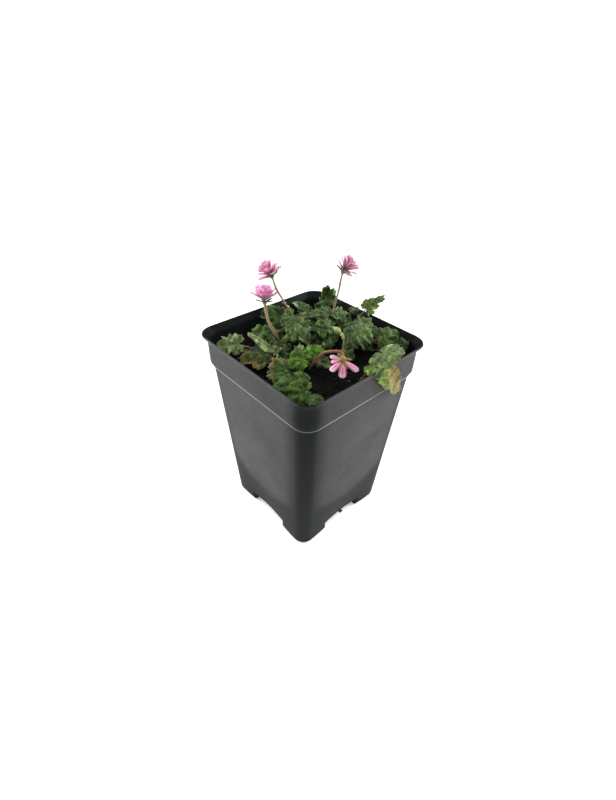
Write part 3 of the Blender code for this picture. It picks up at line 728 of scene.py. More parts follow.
@dataclass(frozen=True)
class Polypropylene(Surface):
    """Injection moulded black polypropylene: satin, faintly grained, greyed by handling and dust; the grey is
    also a painted sheen, and the black left in places is painted shade.

    Attributes:
        black: Colour of the clean plastic.
        dust_and_sheen: Colour where dust and scuffs lie, and a painted sheen of the satin plastic.
        rubbed_and_highlight: Colour of edges that are rubbed pale, and of the painted highlight along the
            step line.
        grain: Size of the moulded grain, in metres.
    """

    black: str = "#191b1b"
    dust_and_sheen: str = "#4d4e4d"
    rubbed_and_highlight: str = "#a3a7a4"
    grain: float = 0.35 * MM

    def inputs(self, add: Callable[..., bpy.types.Node]) -> dict:
        """Inputs of the shader, from nodes that are added by a function."""
        place = add("ShaderNodeTexCoord").outputs["Object"]
        stretch = add("ShaderNodeMapping", {"Vector": place, "Scale": (1.0, 1.0, 0.3)})
        cloud = add("ShaderNodeTexNoise", {"Vector": place, "Scale": 1 / (30 * MM), "Detail": 7.0,
                                           "Roughness": 0.68})
        streak = add("ShaderNodeTexNoise", {"Vector": stretch, "Scale": 1 / (0.6 * MM), "Detail": 3.0})
        uneven = add("ShaderNodeMapRange", {"Value": cloud, "From Min": 0.3, "From Max": 0.7, "To Min": 0.65,
                                            "To Max": 1.2})
        fine = add("ShaderNodeMapRange", {"Value": streak, "From Min": 0.34, "From Max": 0.66, "To Min": 0.8,
                                          "To Max": 1.2})
        both = add("ShaderNodeMath", {0: uneven, 1: fine}, operation="MULTIPLY")
        # Share of grey: dust and a painted sheen where the mark is high, painted shade kept black where it is
        # low.
        dust_and_painted_light = add("ShaderNodeAttribute", attribute_name="dust_and_painted_light").outputs["Fac"]
        grey_share = add("ShaderNodeMath", {0: both, 1: dust_and_painted_light}, operation="MULTIPLY", use_clamp=True)
        rubs = add("ShaderNodeTexNoise", {"Vector": place, "Scale": 1 / (6 * MM), "Detail": 5.0})
        faint = add("ShaderNodeMapRange", {"Value": rubs, "From Min": 0.68, "From Max": 0.82, "To Max": 0.1})
        # Pale where the lip is rubbed and scuffs lie, and along the step line as a painted highlight.
        wear_and_highlight = add("ShaderNodeAttribute", attribute_name="wear_and_highlight").outputs["Fac"]
        pale_share = add("ShaderNodeMath", {0: wear_and_highlight, 1: faint}, operation="MAXIMUM")
        black, dust_and_sheen, rubbed_and_highlight = ((*linear(code), 1) for code in (self.black, self.dust_and_sheen, self.rubbed_and_highlight))
        plain = add("ShaderNodeMix", {0: grey_share, 6: black, 7: dust_and_sheen}, data_type="RGBA").outputs[2]
        pores = add("ShaderNodeTexNoise", {"Vector": place, "Scale": 1 / self.grain, "Detail": 2.0})
        return {
            "Base Color": add("ShaderNodeMix", {0: pale_share, 6: plain, 7: rubbed_and_highlight}, data_type="RGBA").outputs[2],
            "Normal": add("ShaderNodeBump", {"Strength": 0.35, "Distance": 0.04 * MM, "Height": pores}),
            "Roughness": add("ShaderNodeMapRange", {"Value": grey_share, "To Min": 0.4, "To Max": 0.58}),
            "IOR": 1.49, "Specular IOR Level": 0.04,
        }


@dataclass(frozen=True)
class Peat(Surface):
    """Damp sphagnum peat: nearly black, matt, with brown crumbs and a few paler fibres."""

    dark: str
    light: str
    grain: float = 0.8 * MM

    def inputs(self, add: Callable[..., bpy.types.Node]) -> dict:
        """Inputs of the shader, from nodes that are added by a function."""
        place = add("ShaderNodeTexCoord").outputs["Object"]
        clods = add("ShaderNodeTexNoise", {"Vector": place, "Scale": 1 / (2.6 * self.grain), "Detail": 6.0})
        share = add("ShaderNodeMapRange", {"Value": clods, "From Min": 0.42, "From Max": 0.78})
        colour = add("ShaderNodeMix", {0: share, 6: (*linear(self.dark), 1), 7: (*linear(self.light), 1)},
                     data_type="RGBA")
        fine = add("ShaderNodeTexNoise", {"Vector": place, "Scale": 1 / (0.5 * self.grain), "Detail": 4.0})
        return {
            "Base Color": colour.outputs[2], "Roughness": 0.95, "Specular IOR Level": 0.2,
            "Normal": add("ShaderNodeBump", {"Strength": 1.0, "Distance": 0.3 * MM, "Height": fine}),
        }


@dataclass(frozen=True)
class Paper(Surface):
    """Seamless white studio paper, lit a little from below: matt and even, it bounces soft light back up."""

    colour: str
    glow: float

    def inputs(self, add: Callable[..., bpy.types.Node]) -> dict:
        """Inputs of the shader, which need no nodes."""
        return {"Base Color": (*linear(self.colour), 1), "Roughness": 0.9, "Emission Color": (1, 1, 1, 1),
                "Emission Strength": self.glow}


class Finish(Enum):
    """The finishes of the object and its studio."""

    # Living leaf: soft and matt, with the grey bloom that its hairs give
    LEAF = Skin("hairy erodium leaf", 0.6, 0.08, 0.32 * MM, 0.12 * MM, 0.12)
    # Flower and leaf stalks: a little glossier than the blades, finely ribbed
    STALK = Skin("hairy stalk", 0.55, 0.1, 0.25 * MM, 0.06 * MM, 0.1)
    # Petals: very thin, so light glows through them
    PETAL = Skin("thin petal", 0.5, 0.3, 0.25 * MM, 0.05 * MM, 0.06, 0.25)
    # Withered tissue, as of dead roots: dull and papery
    DRY = Skin("withered leaf", 0.8, 0.05, 0.4 * MM, 0.15 * MM, 0.2)
    # Fine hairs: pale and translucent, so they frost the outlines
    HAIR = HairSkin("plant hair", "#9aa584")
    # Moulded plastic: a satin black that dust and handling turn grey; the grey is also a painted sheen, and
    # the black kept at the corners, the front, the inside and low on the walls is painted shade
    POT = Polypropylene("moulded black polypropylene")
    # Damp peat and what lies in it: nearly black crumbs, brown fibres, a few pale mineral grains; the peat
    # and crumbs are darker still as painted shade, for the shade deep in the pot under the leaves
    PEAT = Peat("damp peat", "#060504", "#0f0d0b")
    CRUMB = Peat("peat crumb", "#060605", "#161310")
    FIBRE = Peat("peat fibre", "#1c150f", "#3a2d21")
    STONE = Peat("perlite grain", "#6f6d68", "#a5a39c")
    # Studio paper: matt white
    PAPER = Paper("white studio paper", "#fbfbfa", 0.22)

    @property
    def material(self) -> bpy.types.Material:
        """Its material, made at its first use."""
        return bpy.data.materials.get(self.value.name) or self.value.material()


def place_piece(thing: bpy.types.Object, slot: str, *nodes: str) -> None:
    """Fix a finished piece to the object and report it.

    Args:
        thing: The piece.
        slot: Not used.
        *nodes: Solids that it replaces.
    """
    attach(thing, "root")
    if nodes:
        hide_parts(*nodes)
    LOG.info("%s: %d faces", thing.name, len(thing.data.polygons))


@dataclass
class NurseryPot:
    """The square nursery pot: tapered, with a collar, a step line and four corner feet."""

    height: float = 124 * MM
    base_half: float = 35.5 * MM
    base_corner: float = 7.6 * MM
    step_height: float = 104.5 * MM
    step_half: float = 42.1 * MM
    step_corner: float = 8.5 * MM
    bead: float = 0.6 * MM
    collar_half: float = 43.9 * MM
    rim_half: float = 46 * MM
    rim_corner: float = 10 * MM
    wall: float = 1.0 * MM
    press_depth: float = 1.5 * MM
    press_half: float = 27 * MM
    foot_height: float = 7.6 * MM
    foot_end: float = 14 * MM
    foot_sole: float = 1.2 * MM
    foot_round: float = 2.2 * MM
    pocket_wall: float = 1.6 * MM
    pocket_corner: float = 7.5 * MM
    floor_top: float = 8.4 * MM
    hole_radius: float = 3.5 * MM
    hole_reach: float = 23 * MM
    sharp_angle: float = math.radians(34)

    def square(self, half: float, corner: float, height: float, pressed: float = 0.0,
               corner_steps: int = 14, side_steps: int = 30) -> np.ndarray:
        """Points round a square with round corners.

        Args:
            half: Half its width.
            corner: Radius of its corners.
            height: Height that it lies at.
            pressed: How far the middle of each side is pressed in.
            corner_steps: Edges round each corner.
            side_steps: Points along each side.

        Returns:
            The points, in metres.
        """
        straight = half - corner
        turn = np.linspace(0, math.pi / 2, corner_steps + 1)
        along = straight * (1 - 2 * np.arange(1, side_steps + 1) / (side_steps + 1))
        press = pressed * np.cos(np.minimum(1, np.abs(along) / self.press_half) * math.pi / 2) ** 2
        across = np.concatenate([straight + corner * np.cos(turn), along])
        away = np.concatenate([straight + corner * np.sin(turn), half - press])
        x = np.concatenate([across, -away, -across, away])
        return np.column_stack([x, np.concatenate([away, across, -away, -across]), np.full(len(x), height)])

    def ring(self, height: float, inset: float) -> np.ndarray:
        """Outline of the tapered wall at a height, or of its inside with an inset."""
        share = height / self.step_height
        half = self.base_half + (self.step_half - self.base_half) * share - inset
        corner = self.base_corner + (self.step_corner - self.base_corner) * share - inset
        low = max(0.0, 1 - height / (78 * MM)) ** 1.5
        hem = 0.5 + 0.5 * math.cos(math.pi * min(1.0, height / (30 * MM)))
        return self.square(half, corner, height, self.press_depth * (0.35 * low + 0.75 * hem))

    def rings(self) -> list[np.ndarray]:
        """Outlines of the shell: up its outside, over the lip, and down its inside to the floor."""
        step, bead, collar, rim = self.step_half, self.step_half + self.bead, self.collar_half, self.rim_half
        high, top, thick = self.step_height, self.height, self.wall / MM
        beaded, large, inner = self.step_corner + self.bead, self.rim_corner, self.rim_corner - self.wall
        rings = [self.ring(height * MM, inset * MM)
                 for height, inset in ((0, 1.1), (0.15, 0.7), (0.5, 0.35), (1.1, 0.1), (2, 0))]
        rings += [self.ring(height * MM, 0) for height in np.linspace(4, 103.6, 42)]
        # Half width and millimetres added to it, level and millimetres added to it, corner
        for half, more, level, up, corner in (
            (bead, -0.15, high, -0.45, beaded), (bead, 0, high, -0.2, beaded), (bead, 0, high, 0.3, beaded),
            (bead, -0.12, high, 0.45, beaded), (step, 0.4, high, 0.6, self.step_corner),
            (collar, -0.5, high, 1.9, large), (collar, -0.1, high, 2.4, large), (collar, 0, high, 3.1, large),
            (collar, 0.08, high, 8, large), (collar, 0.15, top, -4.2, large),
            (collar, 0.35, top, -3.3, large), (collar, 0.9, top, -2.4, large),
            (rim, -0.55, top, -1.5, large), (rim, -0.12, top, -0.9, large),
            (rim, 0, top, -0.5, large), (rim, -0.08, top, -0.18, large), (rim, -0.3, top, 0, large),
            (rim, -0.72, top, 0, inner), (rim, -0.95, top, -0.15, inner), (rim, -1.1, top, -0.5, inner),
            (rim, -1.6, top, -1.5, inner), (collar, -0.2, top, -2.6, inner), (collar, -0.8, top, -3.6, inner),
            (collar, -thick, top, -4.6, inner), (collar, -thick, high, 3.4, inner),
            (step, -thick, high, 0, inner),
        ):
            rings.append(self.square(half + more * MM, corner, level + up * MM))
        down = (96, 78, 60, 45, 32, 22, 14, self.floor_top / MM)
        return rings + [self.ring(height * MM, self.wall) for height in down]

    def channel(self, angle: float) -> bpy.types.Object:
        """Cutter of a channel under the floor, which widens round the ends of the feet."""
        top = self.foot_height
        more = np.array([1.4, 0.9, 0.35, 0, 0, -0.1, -0.4, -1.2]) * MM
        level = np.array([-MM, 0, 0.35 * MM, MM, 3 * MM, top - 0.6 * MM, top - 0.15 * MM, top])
        turn = np.linspace(0, math.pi / 2, 9)
        wide = self.foot_end + self.foot_round * (1 - np.cos(turn))
        plan = [*zip(self.base_half - 0.4 * MM - self.foot_round * (1 - np.sin(turn)), wide),
                (2 * self.base_half, wide[-1] + 0.2 * MM)]
        rings = [np.column_stack([np.full(16, place), np.concatenate([wide + more, -wide - more[::-1]]),
                                  np.concatenate([level, level[::-1]])])
                 for place, wide in [(-place, wide) for place, wide in reversed(plan)] + plan]
        cutter = loft("channel cutter", rings)
        cutter.data.transform(Matrix.Rotation(angle, 4, "Z"))
        return cutter

    def pocket(self, x: int, y: int) -> bpy.types.Object:
        """Cutter of the hollow inside one foot."""
        low, high = self.wall + self.foot_end, self.base_half - self.pocket_wall
        place = np.array([x, y, 0]) * (low + high) / 2
        rings = [self.square((high - low) / 2, self.pocket_corner, level, 0, 6, 0) + place
                 for level in (self.foot_sole, self.floor_top + MM)]
        return loft("pocket cutter", rings)

    def drain(self, x: int, y: int) -> bpy.types.Object:
        """Cutter of one drain hole."""
        turn = np.linspace(0, 2 * math.pi, 32, endpoint=False)
        circle = np.column_stack([np.cos(turn), np.sin(turn), np.zeros(32)]) * self.hole_radius
        circle += np.array([x, y, 0]) * self.hole_reach
        reach = 2 * self.floor_top
        return loft("drain cutter", [circle + (0, 0, level) for level in (-reach, reach)])

    def build(self) -> bpy.types.Object:
        """Build the pot, with its feet and drain holes cut and its wear, dust and painted light marked."""
        pot = loft("nursery_pot", self.rings())
        for cutters in (
            [self.pocket(x, y) for x in (-1, 1) for y in (-1, 1)]
            + [self.drain(x, y) for x, y in ((0, 0), (1, 0), (-1, 0), (0, 1), (0, -1))],
            [self.channel(0), self.channel(math.pi / 2)],
        ):
            shelf = bpy.data.collections.new("cutters")
            for cutter in cutters:
                shelf.objects.link(cutter)
            step = pot.modifiers.new("cut", "BOOLEAN")
            step.operation = "DIFFERENCE"
            step.solver = "EXACT"
            step.operand_type = "COLLECTION"
            step.collection = shelf
            make_plain(pot)
            for cutter in cutters:
                bpy.data.objects.remove(cutter)
            bpy.data.collections.remove(shelf)
        self.mark_wear_and_painted_light(pot.data)
        pot.data.materials.clear()
        pot.data.materials.append(Finish.POT.material)
        pot.data.shade_smooth()
        pot.data.set_sharp_from_angle(angle=self.sharp_angle)
        return pot

    def mark_wear_and_painted_light(self, mesh: bpy.types.Mesh) -> None:
        """Mark where the plastic is rubbed pale, the step line and the lip, with a painted highlight on the
        step line; and where dust and a painted sheen grey it, with painted shade kept black.
        """
        points, normals = np.empty((2, len(mesh.vertices) * 3))
        mesh.vertices.foreach_get("co", points)
        mesh.vertices.foreach_get("normal", normals)
        x, y, z = points.reshape(-1, 3).T
        reach, aside = np.maximum(np.abs(x), np.abs(y)), np.minimum(np.abs(x), np.abs(y))
        outward = normals[::3] * x + normals[1::3] * y > 0.2 * reach
        line = np.abs(z - self.step_height) < 0.32 * MM
        lip = (z > self.height - 0.9 * MM) & (reach > self.rim_half - 0.9 * MM)
        front = np.clip((x - y) / (2 * reach), 0, 1)
        upper = z > self.step_height
        # Painted shade: the grey stops short of the corners, and further short towards the front corner, so
        # they stay dark; only outward faces get grey, so the inside stays black.
        face = smoothstep((0.88 * reach - aside) / (6 * MM + np.where(upper, 5, 11) * MM * front)) * outward
        # Painted shade below an arch low on each wall, where the grey fades to black, and a band of painted
        # light just above it.
        arch = 26 * MM + 11 * MM * np.clip(aside / (0.8 * reach), 0, 1) ** 2
        panel = smoothstep((z - arch + 7 * MM) / (13 * MM))
        pool = 0.12 * np.exp(-((z - arch - 13 * MM) / (11 * MM)) ** 2)
        # The grey of dust and painted sheen, darkened towards the front corner as painted shade, and 80% as
        # strong on the collar.
        dust_and_painted_light = face * (0.98 * panel + pool) * (0.98 - 0.33 * front) * np.where(upper, 0.8, 1)
        # Step line: painted highlight along the bead, brighter on the flat faces than at the corners; lip:
        # rubbed pale.
        for name, values in (("wear_and_highlight", line * outward * (0.3 + 0.3 * face) + lip * 0.05), ("dust_and_painted_light", dust_and_painted_light)):
            mesh.attributes.new(name, "FLOAT", "POINT").data.foreach_set("value", values.astype(np.float32))


@dataclass
class PeatBed:
    """The peat: a clodded top with crumbs, fibres and a few pale grains, down to the floor."""

    half: float = 42.4 * MM
    corner: float = 8.6 * MM
    level: float = 111.5 * MM
    bump: float = 0.9 * MM
    spacing: float = 0.8 * MM
    waist_half: float = 40.4 * MM
    waist: float = 103.5 * MM
    under_half: float = 34 * MM
    floor: float = 8.5 * MM

    def top(self) -> np.ndarray:
        """Grid of points of the uneven top."""
        line = np.linspace(-1, 1, int(2 * self.half / self.spacing))
        x, y = np.meshgrid(line * self.half, line * self.half)
        straight = self.half - self.corner
        over_x, over_y = np.maximum(np.abs(x) - straight, 0), np.maximum(np.abs(y) - straight, 0)
        far = np.hypot(over_x, over_y)
        rounded = (over_x > 0) & (over_y > 0)
        pull = np.where(rounded, np.maximum(over_x, over_y) / np.maximum(far, 1e-9), 1)
        x = np.sign(x) * (np.minimum(np.abs(x), straight) + over_x * pull)
        y = np.sign(y) * (np.minimum(np.abs(y), straight) + over_y * pull)
        a, b = x / MM, y / MM
        waves = np.sin(a * 0.31 + 1.1) * np.cos(b * 0.27) + 0.6 * np.sin(a * 0.13 - b * 0.41 + 2)
        flat = np.stack([x, y, np.zeros_like(x)], -1)
        rough = 0.55 * ripple(flat, 71, 5 * MM) + 0.35 * ripple(flat, 72, 2.2 * MM)
        return np.stack([x, y, self.level + self.bump * waves + (0.6 + rough) * MM], -1)

    def build(self) -> bpy.types.Object:
        """Build the closed bed with its loose crumbs."""
        grid = self.top()
        quads, loop = grid_faces(*grid.shape[:2])
        top = grid.reshape(-1, 3)
        crust = add_mesh("peat top", top, quads.tolist(), Finish.PEAT)
        middle = len(top) + np.arange(len(loop))
        bottom = middle + len(loop)
        below = [np.column_stack([top[loop, :2] * half / self.half, np.full(len(loop), level)])
                 for half, level in ((self.waist_half, self.waist), (self.under_half, self.floor))]
        faces = np.concatenate([quads, skirt_faces(loop, middle), skirt_faces(middle, bottom)]).tolist()
        faces.append(bottom[::-1].tolist())
        bed = add_mesh("peat_bed", np.concatenate([top, *below]), faces, Finish.PEAT)
        bed.data.shade_smooth()
        parts = [bed]
        for finish, *sizes in (
            (Finish.CRUMB, 9.5e5, 0.58 * MM, (1, 0.8, 0.6), 0.5, 1.5, 5),
            (Finish.CRUMB, 4.0e4, 1.1 * MM, (1, 0.55, 0.3), 0.5, 0.5, 6),
            (Finish.FIBRE, 2.6e4, 1.3 * MM, (1.7, 0.1, 0.1), 0.5, 0.25, 7),
            (Finish.STONE, 1.6e3, 0.6 * MM, (1, 0.9, 0.8), 0.4, 1.5, 8),
        ):
            parts.append(add_object("peat grains", crust.data.copy()))
            Scatter(ScatterKind.GRAIN, *sizes).grow_on(parts[-1], finish)
        with bpy.context.temp_override(active_object=bed, selected_editable_objects=parts):
            bpy.ops.object.join()
        bpy.data.objects.remove(crust)
        return bed


@dataclass
class LeafyStem:
    """A leafy stem: a short crown in the peat, its leaf stalks, papery scales and blades."""

    name: str
    crown: tuple
    leaves: tuple
    seed: int
    stem_radius: float = 1.6 * MM
    foot: float = 104 * MM
    top: float = 114 * MM
    stalk_radius: float = 0.55 * MM

    def build(self) -> bpy.types.Object:
        """Build the stem with its leaves."""
        body = Body()
        route = np.array([self.middle(height) for height in np.linspace(self.foot, self.top + 0.8 * MM, 10)])
        swell = self.stem_radius * (1 - 0.12 * np.cos(np.linspace(0, 9, 10)))
        swell[-1] *= 0.5
        body.tube(route, swell, linear("#5d4434"), 12)
        for number, leaf in enumerate(self.leaves):
            self.add_stalk(body, leaf)
            Blade(leaf, self.seed * 31 + number * 7).add_to(body)
        self.add_scales(body)
        hair = Scatter(ScatterKind.HAIR, 0.9e6, 0.5 * MM, (0.05, 0.05, 1), 0.4, 0.7, self.seed)
        return body.mesh_object(self.name, Finish.LEAF, hair)

    def middle(self, height: float) -> np.ndarray:
        """Middle of the stem at a height."""
        return np.array([self.crown[0] * MM, self.crown[1] * MM, height])

    def add_stalk(self, body: Body, leaf: Leaf) -> None:
        """Add the stalk of a leaf, from the crown to the base of its blade."""
        base, _, along, _, _ = leaf.frame()
        start = self.middle(self.top - MM)
        turn = base - along * np.linalg.norm(base - start) * 0.3
        turn[2] = max(turn[2], self.top)
        share = np.linspace(0, 1, 17)
        radii = leaf.stalk * self.stalk_radius * (1.1 - 0.35 * share)
        colours = blend(linear("#6b4a38"), linear("#6f7f49"), share * 1.4 - 0.5)
        body.tube(bend(start, turn, base + along * 0.8 * MM, 16), radii, colours, 8)

    def add_scales(self, body: Body) -> None:
        """Add the papery scales round the crown."""
        chance = random.Random(self.seed)
        share, across = np.meshgrid(np.linspace(0, 1, 6), np.linspace(-1, 1, 5), indexing="ij")
        width = 0.9 * MM * (1 - share ** 1.5) + 0.05 * MM
        over = blend(linear("#3f2e22"), linear("#6b5540"), share)
        for index in range(5):
            angle = index * 2 * math.pi / 5 + chance.uniform(-0.3, 0.3)
            length = chance.uniform(1.4, 2.2) * MM
            way = np.array([math.cos(angle), math.sin(angle), 0])
            out = 1.2 * MM + 0.35 * length * share ** 2 - 0.25 * MM * across ** 2
            grid = self.middle(self.top - 1.6 * MM) + np.array([0, 0, length]) * share[..., None]
            grid = grid + way * out[..., None] + np.array([-way[1], way[0], 0]) * (across * width)[..., None]
            body.sheet(grid, np.full(share.shape, 0.09 * MM), over, over, turned=False)


@dataclass(frozen=True)
class PetalInk:
    """Colours of a petal: its blade, its foot, its tip and the stripes along it."""

    blade: str
    foot: str
    tip: str
    stripe: str
    stripes: float
    strength: float

    def paint(self, share: np.ndarray, spread: np.ndarray, seed: int) -> np.ndarray:
        """Colours at places along and across the petal."""
        blade, foot, tip, stripe = map(linear, (self.blade, self.foot, self.tip, self.stripe))
        colour = blend(blend(foot, blade, share * 2.2), tip, (share - 0.55) / 0.45)
        # Stripes down the middle and along both margins: darker magenta veining, and at the margins painted
        # shade where the petals overlap.
        lines = (0.5 + 0.5 * np.cos(spread * (1 - 0.25 * share) * math.pi * self.stripes)) ** 2.5
        fade = np.clip((1.0 - share) / 0.3, 0, 1) * np.clip(share / 0.12, 0, 1)
        colour = blend(colour, stripe, lines * fade * self.strength)
        return np.clip(colour * random.Random(seed).uniform(0.88, 1.1), 0, 1)


@dataclass
class Ring:
    """A ring of petals or sepals, and the spoon shape that they share. Millimetres and degrees.

    Attributes:
        count: How many there are, unless places are given.
        length: Length of one.
        width: Width of one.
        raised: How far they rise from the level of the flower.
        turn: Where the first one stands.
        cup: How hollow they are across.
        notch: Depth of the notch in the tip, as a share of the length.
        curl: How far the tip rises, as a share of the length.
        ruffle: Height of the ruffles.
        loose: How far each may stray from its place.
        claw: Width of the foot, as a share of the width.
        half: Half the thickness.
        places: Turn, rise and scale of each one.
        point: Shape of the tip, pointed at 1 and blunt at 3.
        start: Distance from the flower's middle.
        rows: Points along each one.
        columns: Points across each one.
    """

    count: int
    length: float
    width: float
    raised: float
    turn: float = 0.0
    cup: float = 0.5
    notch: float = 0.12
    curl: float = 0.12
    ruffle: float = 0.0
    loose: float = 6.0
    claw: float = 0.25
    half: float = 0.14
    places: tuple = ()
    point: float = 2.4
    start: float = 0.7
    rows: int = 13
    columns: int = 17

    def add_petal(self, body: Body, ink: PetalInk, centre: np.ndarray, axis: np.ndarray, side: np.ndarray,
                  raised: float, size: float, curl: float, seed: int) -> None:
        """Add one petal.

        Args:
            body: The body that gets it.
            ink: Its colours.
            centre: Middle of the flower.
            axis: The way the flower opens.
            side: The level direction that the petal points in.
            raised: How far it rises from there, in radians.
            size: Its scale.
            curl: How far its tip rises.
            seed: Seed of its ruffles and shade.
        """
        along = side * math.cos(raised) + axis * math.sin(raised)
        out = axis * math.cos(raised) - side * math.sin(raised)
        share, spread = np.meshgrid(np.linspace(0, 1, self.rows), np.linspace(-1, 1, self.columns),
                                    indexing="ij")
        length = self.length * MM * size
        swell = np.sin(np.minimum(1, share * 1.25) * math.pi / 2) ** 1.5
        tip = np.clip((share - 0.68) / 0.32, 0, 1)
        half = self.width * MM * size / 2 * (self.claw + (1 - self.claw) * swell)
        half = half * np.sqrt(np.maximum(0.02, 1 - 0.96 * tip ** self.point))
        dip = self.notch * share ** 6 * (1 - spread ** 2)
        x = self.start * MM + (length - self.start * MM) * (share - dip)
        wave = np.sin(spread * 5 + seed) * share ** 2 + 0.6 * np.sin(share * 7 + spread * 3 + seed * 2)
        height = self.cup * half * spread ** 2 + curl * length * share ** 2 + self.ruffle * MM * wave
        grid = (centre + along * x[..., None] + np.cross(out, along) * (half * spread)[..., None]
                + out * height[..., None])
        over = ink.paint(share, spread, seed)
        body.sheet(grid, self.half * MM * (1 - 0.5 * share), over, over * 0.94)


@dataclass
class Flower:
    """A flower on its stalk, where its solids are.

    Attributes:
        name: Its name in the solids.
        calyx: Middle of its calyx, in millimetres.
        axis: The way it opens.
        route: Places of its stalk, in millimetres.
        radius: Radius of its stalk, in millimetres.
        rings: Its rings of petals.
        sepals: Its ring of sepals.
        ink: Colours of its petals.
        sepal_ink: Colours of its sepals.
        stalk_colours: Colours of its stalk, low and high.
        seed: Seed of its irregularities.
        bracts: Whether its stalk has papery bracts.
        heart: Colour of its middle, if its petals leave that open.
        seat: Radius of its calyx.
        ring_gap: Distance between its rings.
        front: Level direction towards the pot's front corner.
    """

    name: str
    calyx: tuple
    axis: tuple
    route: tuple
    radius: float
    rings: tuple
    sepals: Ring
    ink: PetalInk
    sepal_ink: PetalInk
    stalk_colours: tuple
    seed: int
    bracts: bool = False
    heart: str = ""
    seat: float = 1.25 * MM
    ring_gap: float = 0.45 * MM
    front: tuple = (0.723, -0.691, 0)

    def frame(self) -> tuple[np.ndarray, np.ndarray, np.ndarray, np.ndarray]:
        """Calyx, axis and two directions across it, the first towards the pot's front corner."""
        axis = np.array(Vector(self.axis).normalized())
        level = np.array(self.front) - axis * (np.array(self.front) @ axis)
        level /= np.linalg.norm(level)
        return np.array(self.calyx) * MM, axis, level, np.cross(axis, level)

    def add_ring(self, body: Body, ring: Ring, offset: float, ink: PetalInk, seed: int) -> None:
        """Add a ring of petals or sepals.

        Args:
            body: The body that gets them.
            ring: The ring.
            offset: Where they start along the axis.
            ink: Their colours.
            seed: Seed of their irregularities.
        """
        calyx, axis, level, other = self.frame()
        chance = random.Random(seed)
        places = ring.places or [(360 * index / ring.count, ring.raised, 1.0) for index in range(ring.count)]
        for index, (around, lift, scale) in enumerate(places):
            angle = math.radians(around + ring.turn + chance.uniform(-ring.loose, ring.loose))
            raised = math.radians(lift + chance.uniform(-ring.loose, ring.loose) * 0.7)
            size = scale * chance.uniform(0.93, 1.05)
            curl = ring.curl + chance.uniform(-0.04, 0.04)
            side = level * math.cos(angle) + other * math.sin(angle)
            ring.add_petal(body, ink, calyx + axis * offset, axis, side, raised, size, curl, seed + index)

    def petals(self) -> bpy.types.Object:
        """Build the petals as one piece."""
        body = Body()
        calyx, axis, _, _ = self.frame()
        steps = np.linspace(-1, 1, 9)
        radii = 0.8 * self.seat * np.sqrt(np.maximum(0.05, 1 - steps ** 2))
        route = calyx + axis * (self.seat * (1.9 + steps))[:, None]
        body.tube(route, radii, linear(self.heart or self.ink.foot), 12)
        if self.heart:
            threads = PetalInk(self.heart, self.heart, "#e3b7a0", "#b87862", 3, 0.4)
            self.add_ring(body, THREADS, self.seat, threads, self.seed + 300)
        for number, ring in enumerate(self.rings):
            offset = self.seat + number * self.ring_gap
            self.add_ring(body, ring, offset, self.ink, self.seed + 40 * number)
        return body.mesh_object(f"petals_of_{self.name}", Finish.PETAL)

    def stalk(self) -> bpy.types.Object:
        """Build the stalk with its calyx as one piece."""
        body = Body()
        calyx, axis, _, _ = self.frame()
        route = smooth_route((*self.route, self.calyx))
        share = np.linspace(0, 1, len(route))
        radii = self.radius * MM * (1 - 0.12 * share) * (1 + 0.08 * np.sin(share * 19 + self.seed))
        body.tube(route, radii, blend(*map(linear, self.stalk_colours), share), 12)
        steps = np.linspace(-1, 1, 11)
        radii = self.seat * np.sqrt(np.maximum(0.04, 1 - steps ** 2)) * (1 + 0.15 * steps)
        body.tube(calyx + axis * (steps * self.seat * 1.05)[:, None], radii, linear(self.sepal_ink.foot), 14)
        self.add_ring(body, self.sepals, 0.0, self.sepal_ink, self.seed + 7)
        if self.bracts:
            place = route[int(len(route) * 0.52)]
            for index in range(BRACTS.count):
                angle = index * 2.1 + 0.4
                side = np.array([math.cos(angle), math.sin(angle), 0])
                BRACTS.add_petal(body, BRACT_INK, place, np.array([0, 0, 1.0]), side,
                                 math.radians(BRACTS.raised + 30 * index), 1.0, BRACTS.curl, index)
        hair = Scatter(ScatterKind.HAIR, 4.0e6, 0.55 * MM, (0.045, 0.045, 1), 0.4, 0.5, self.seed)
        return body.mesh_object(f"stalk_of_{self.name}", Finish.STALK, hair)


@dataclass
class Bud:
    """The closed bud on its stalk, with two knots on the stalk below it that stand for a smaller bud and
    bracts.
    """

    route: tuple = ((11.5, 13, 104), (11.5, 13, 114), (13.3, 11.5, 123), (12, 9.9, 128))
    tip: tuple = (8.3, 7.2, 131)
    radius: float = 1.5 * MM
    stalk_radius: float = 0.6 * MM

    def build(self) -> bpy.types.Object:
        """Build the bud with its stalk."""
        body = Body()
        route = smooth_route(self.route)
        share = np.linspace(0, 1, len(route))
        knots = np.exp(-((share - 0.93) / 0.05) ** 2) + 0.8 * np.exp(-((share - 0.8) / 0.04) ** 2)
        radii = self.stalk_radius * (1 - 0.1 * share) * (1 + 0.9 * knots)
        body.tube(route, radii, blend(linear("#7d7a4a"), linear("#b5c07c"), share * 1.1), 12)
        steps = np.linspace(0, 1, 19)
        radii = self.radius * np.sin(np.clip(steps ** 0.8, 0.03, 0.985) * math.pi) ** 0.75
        along = route[-1] + (np.array(self.tip) * MM - route[-1]) * steps[:, None]
        body.tube(along, radii, blend(linear("#7c9040"), linear("#a9b878"), steps), 20, rib=0.09)
        hair = Scatter(ScatterKind.HAIR, 4.0e6, 0.5 * MM, (0.05, 0.05, 1), 0.4, 0.5, 19)
        return body.mesh_object("flower_bud", Finish.STALK, hair)


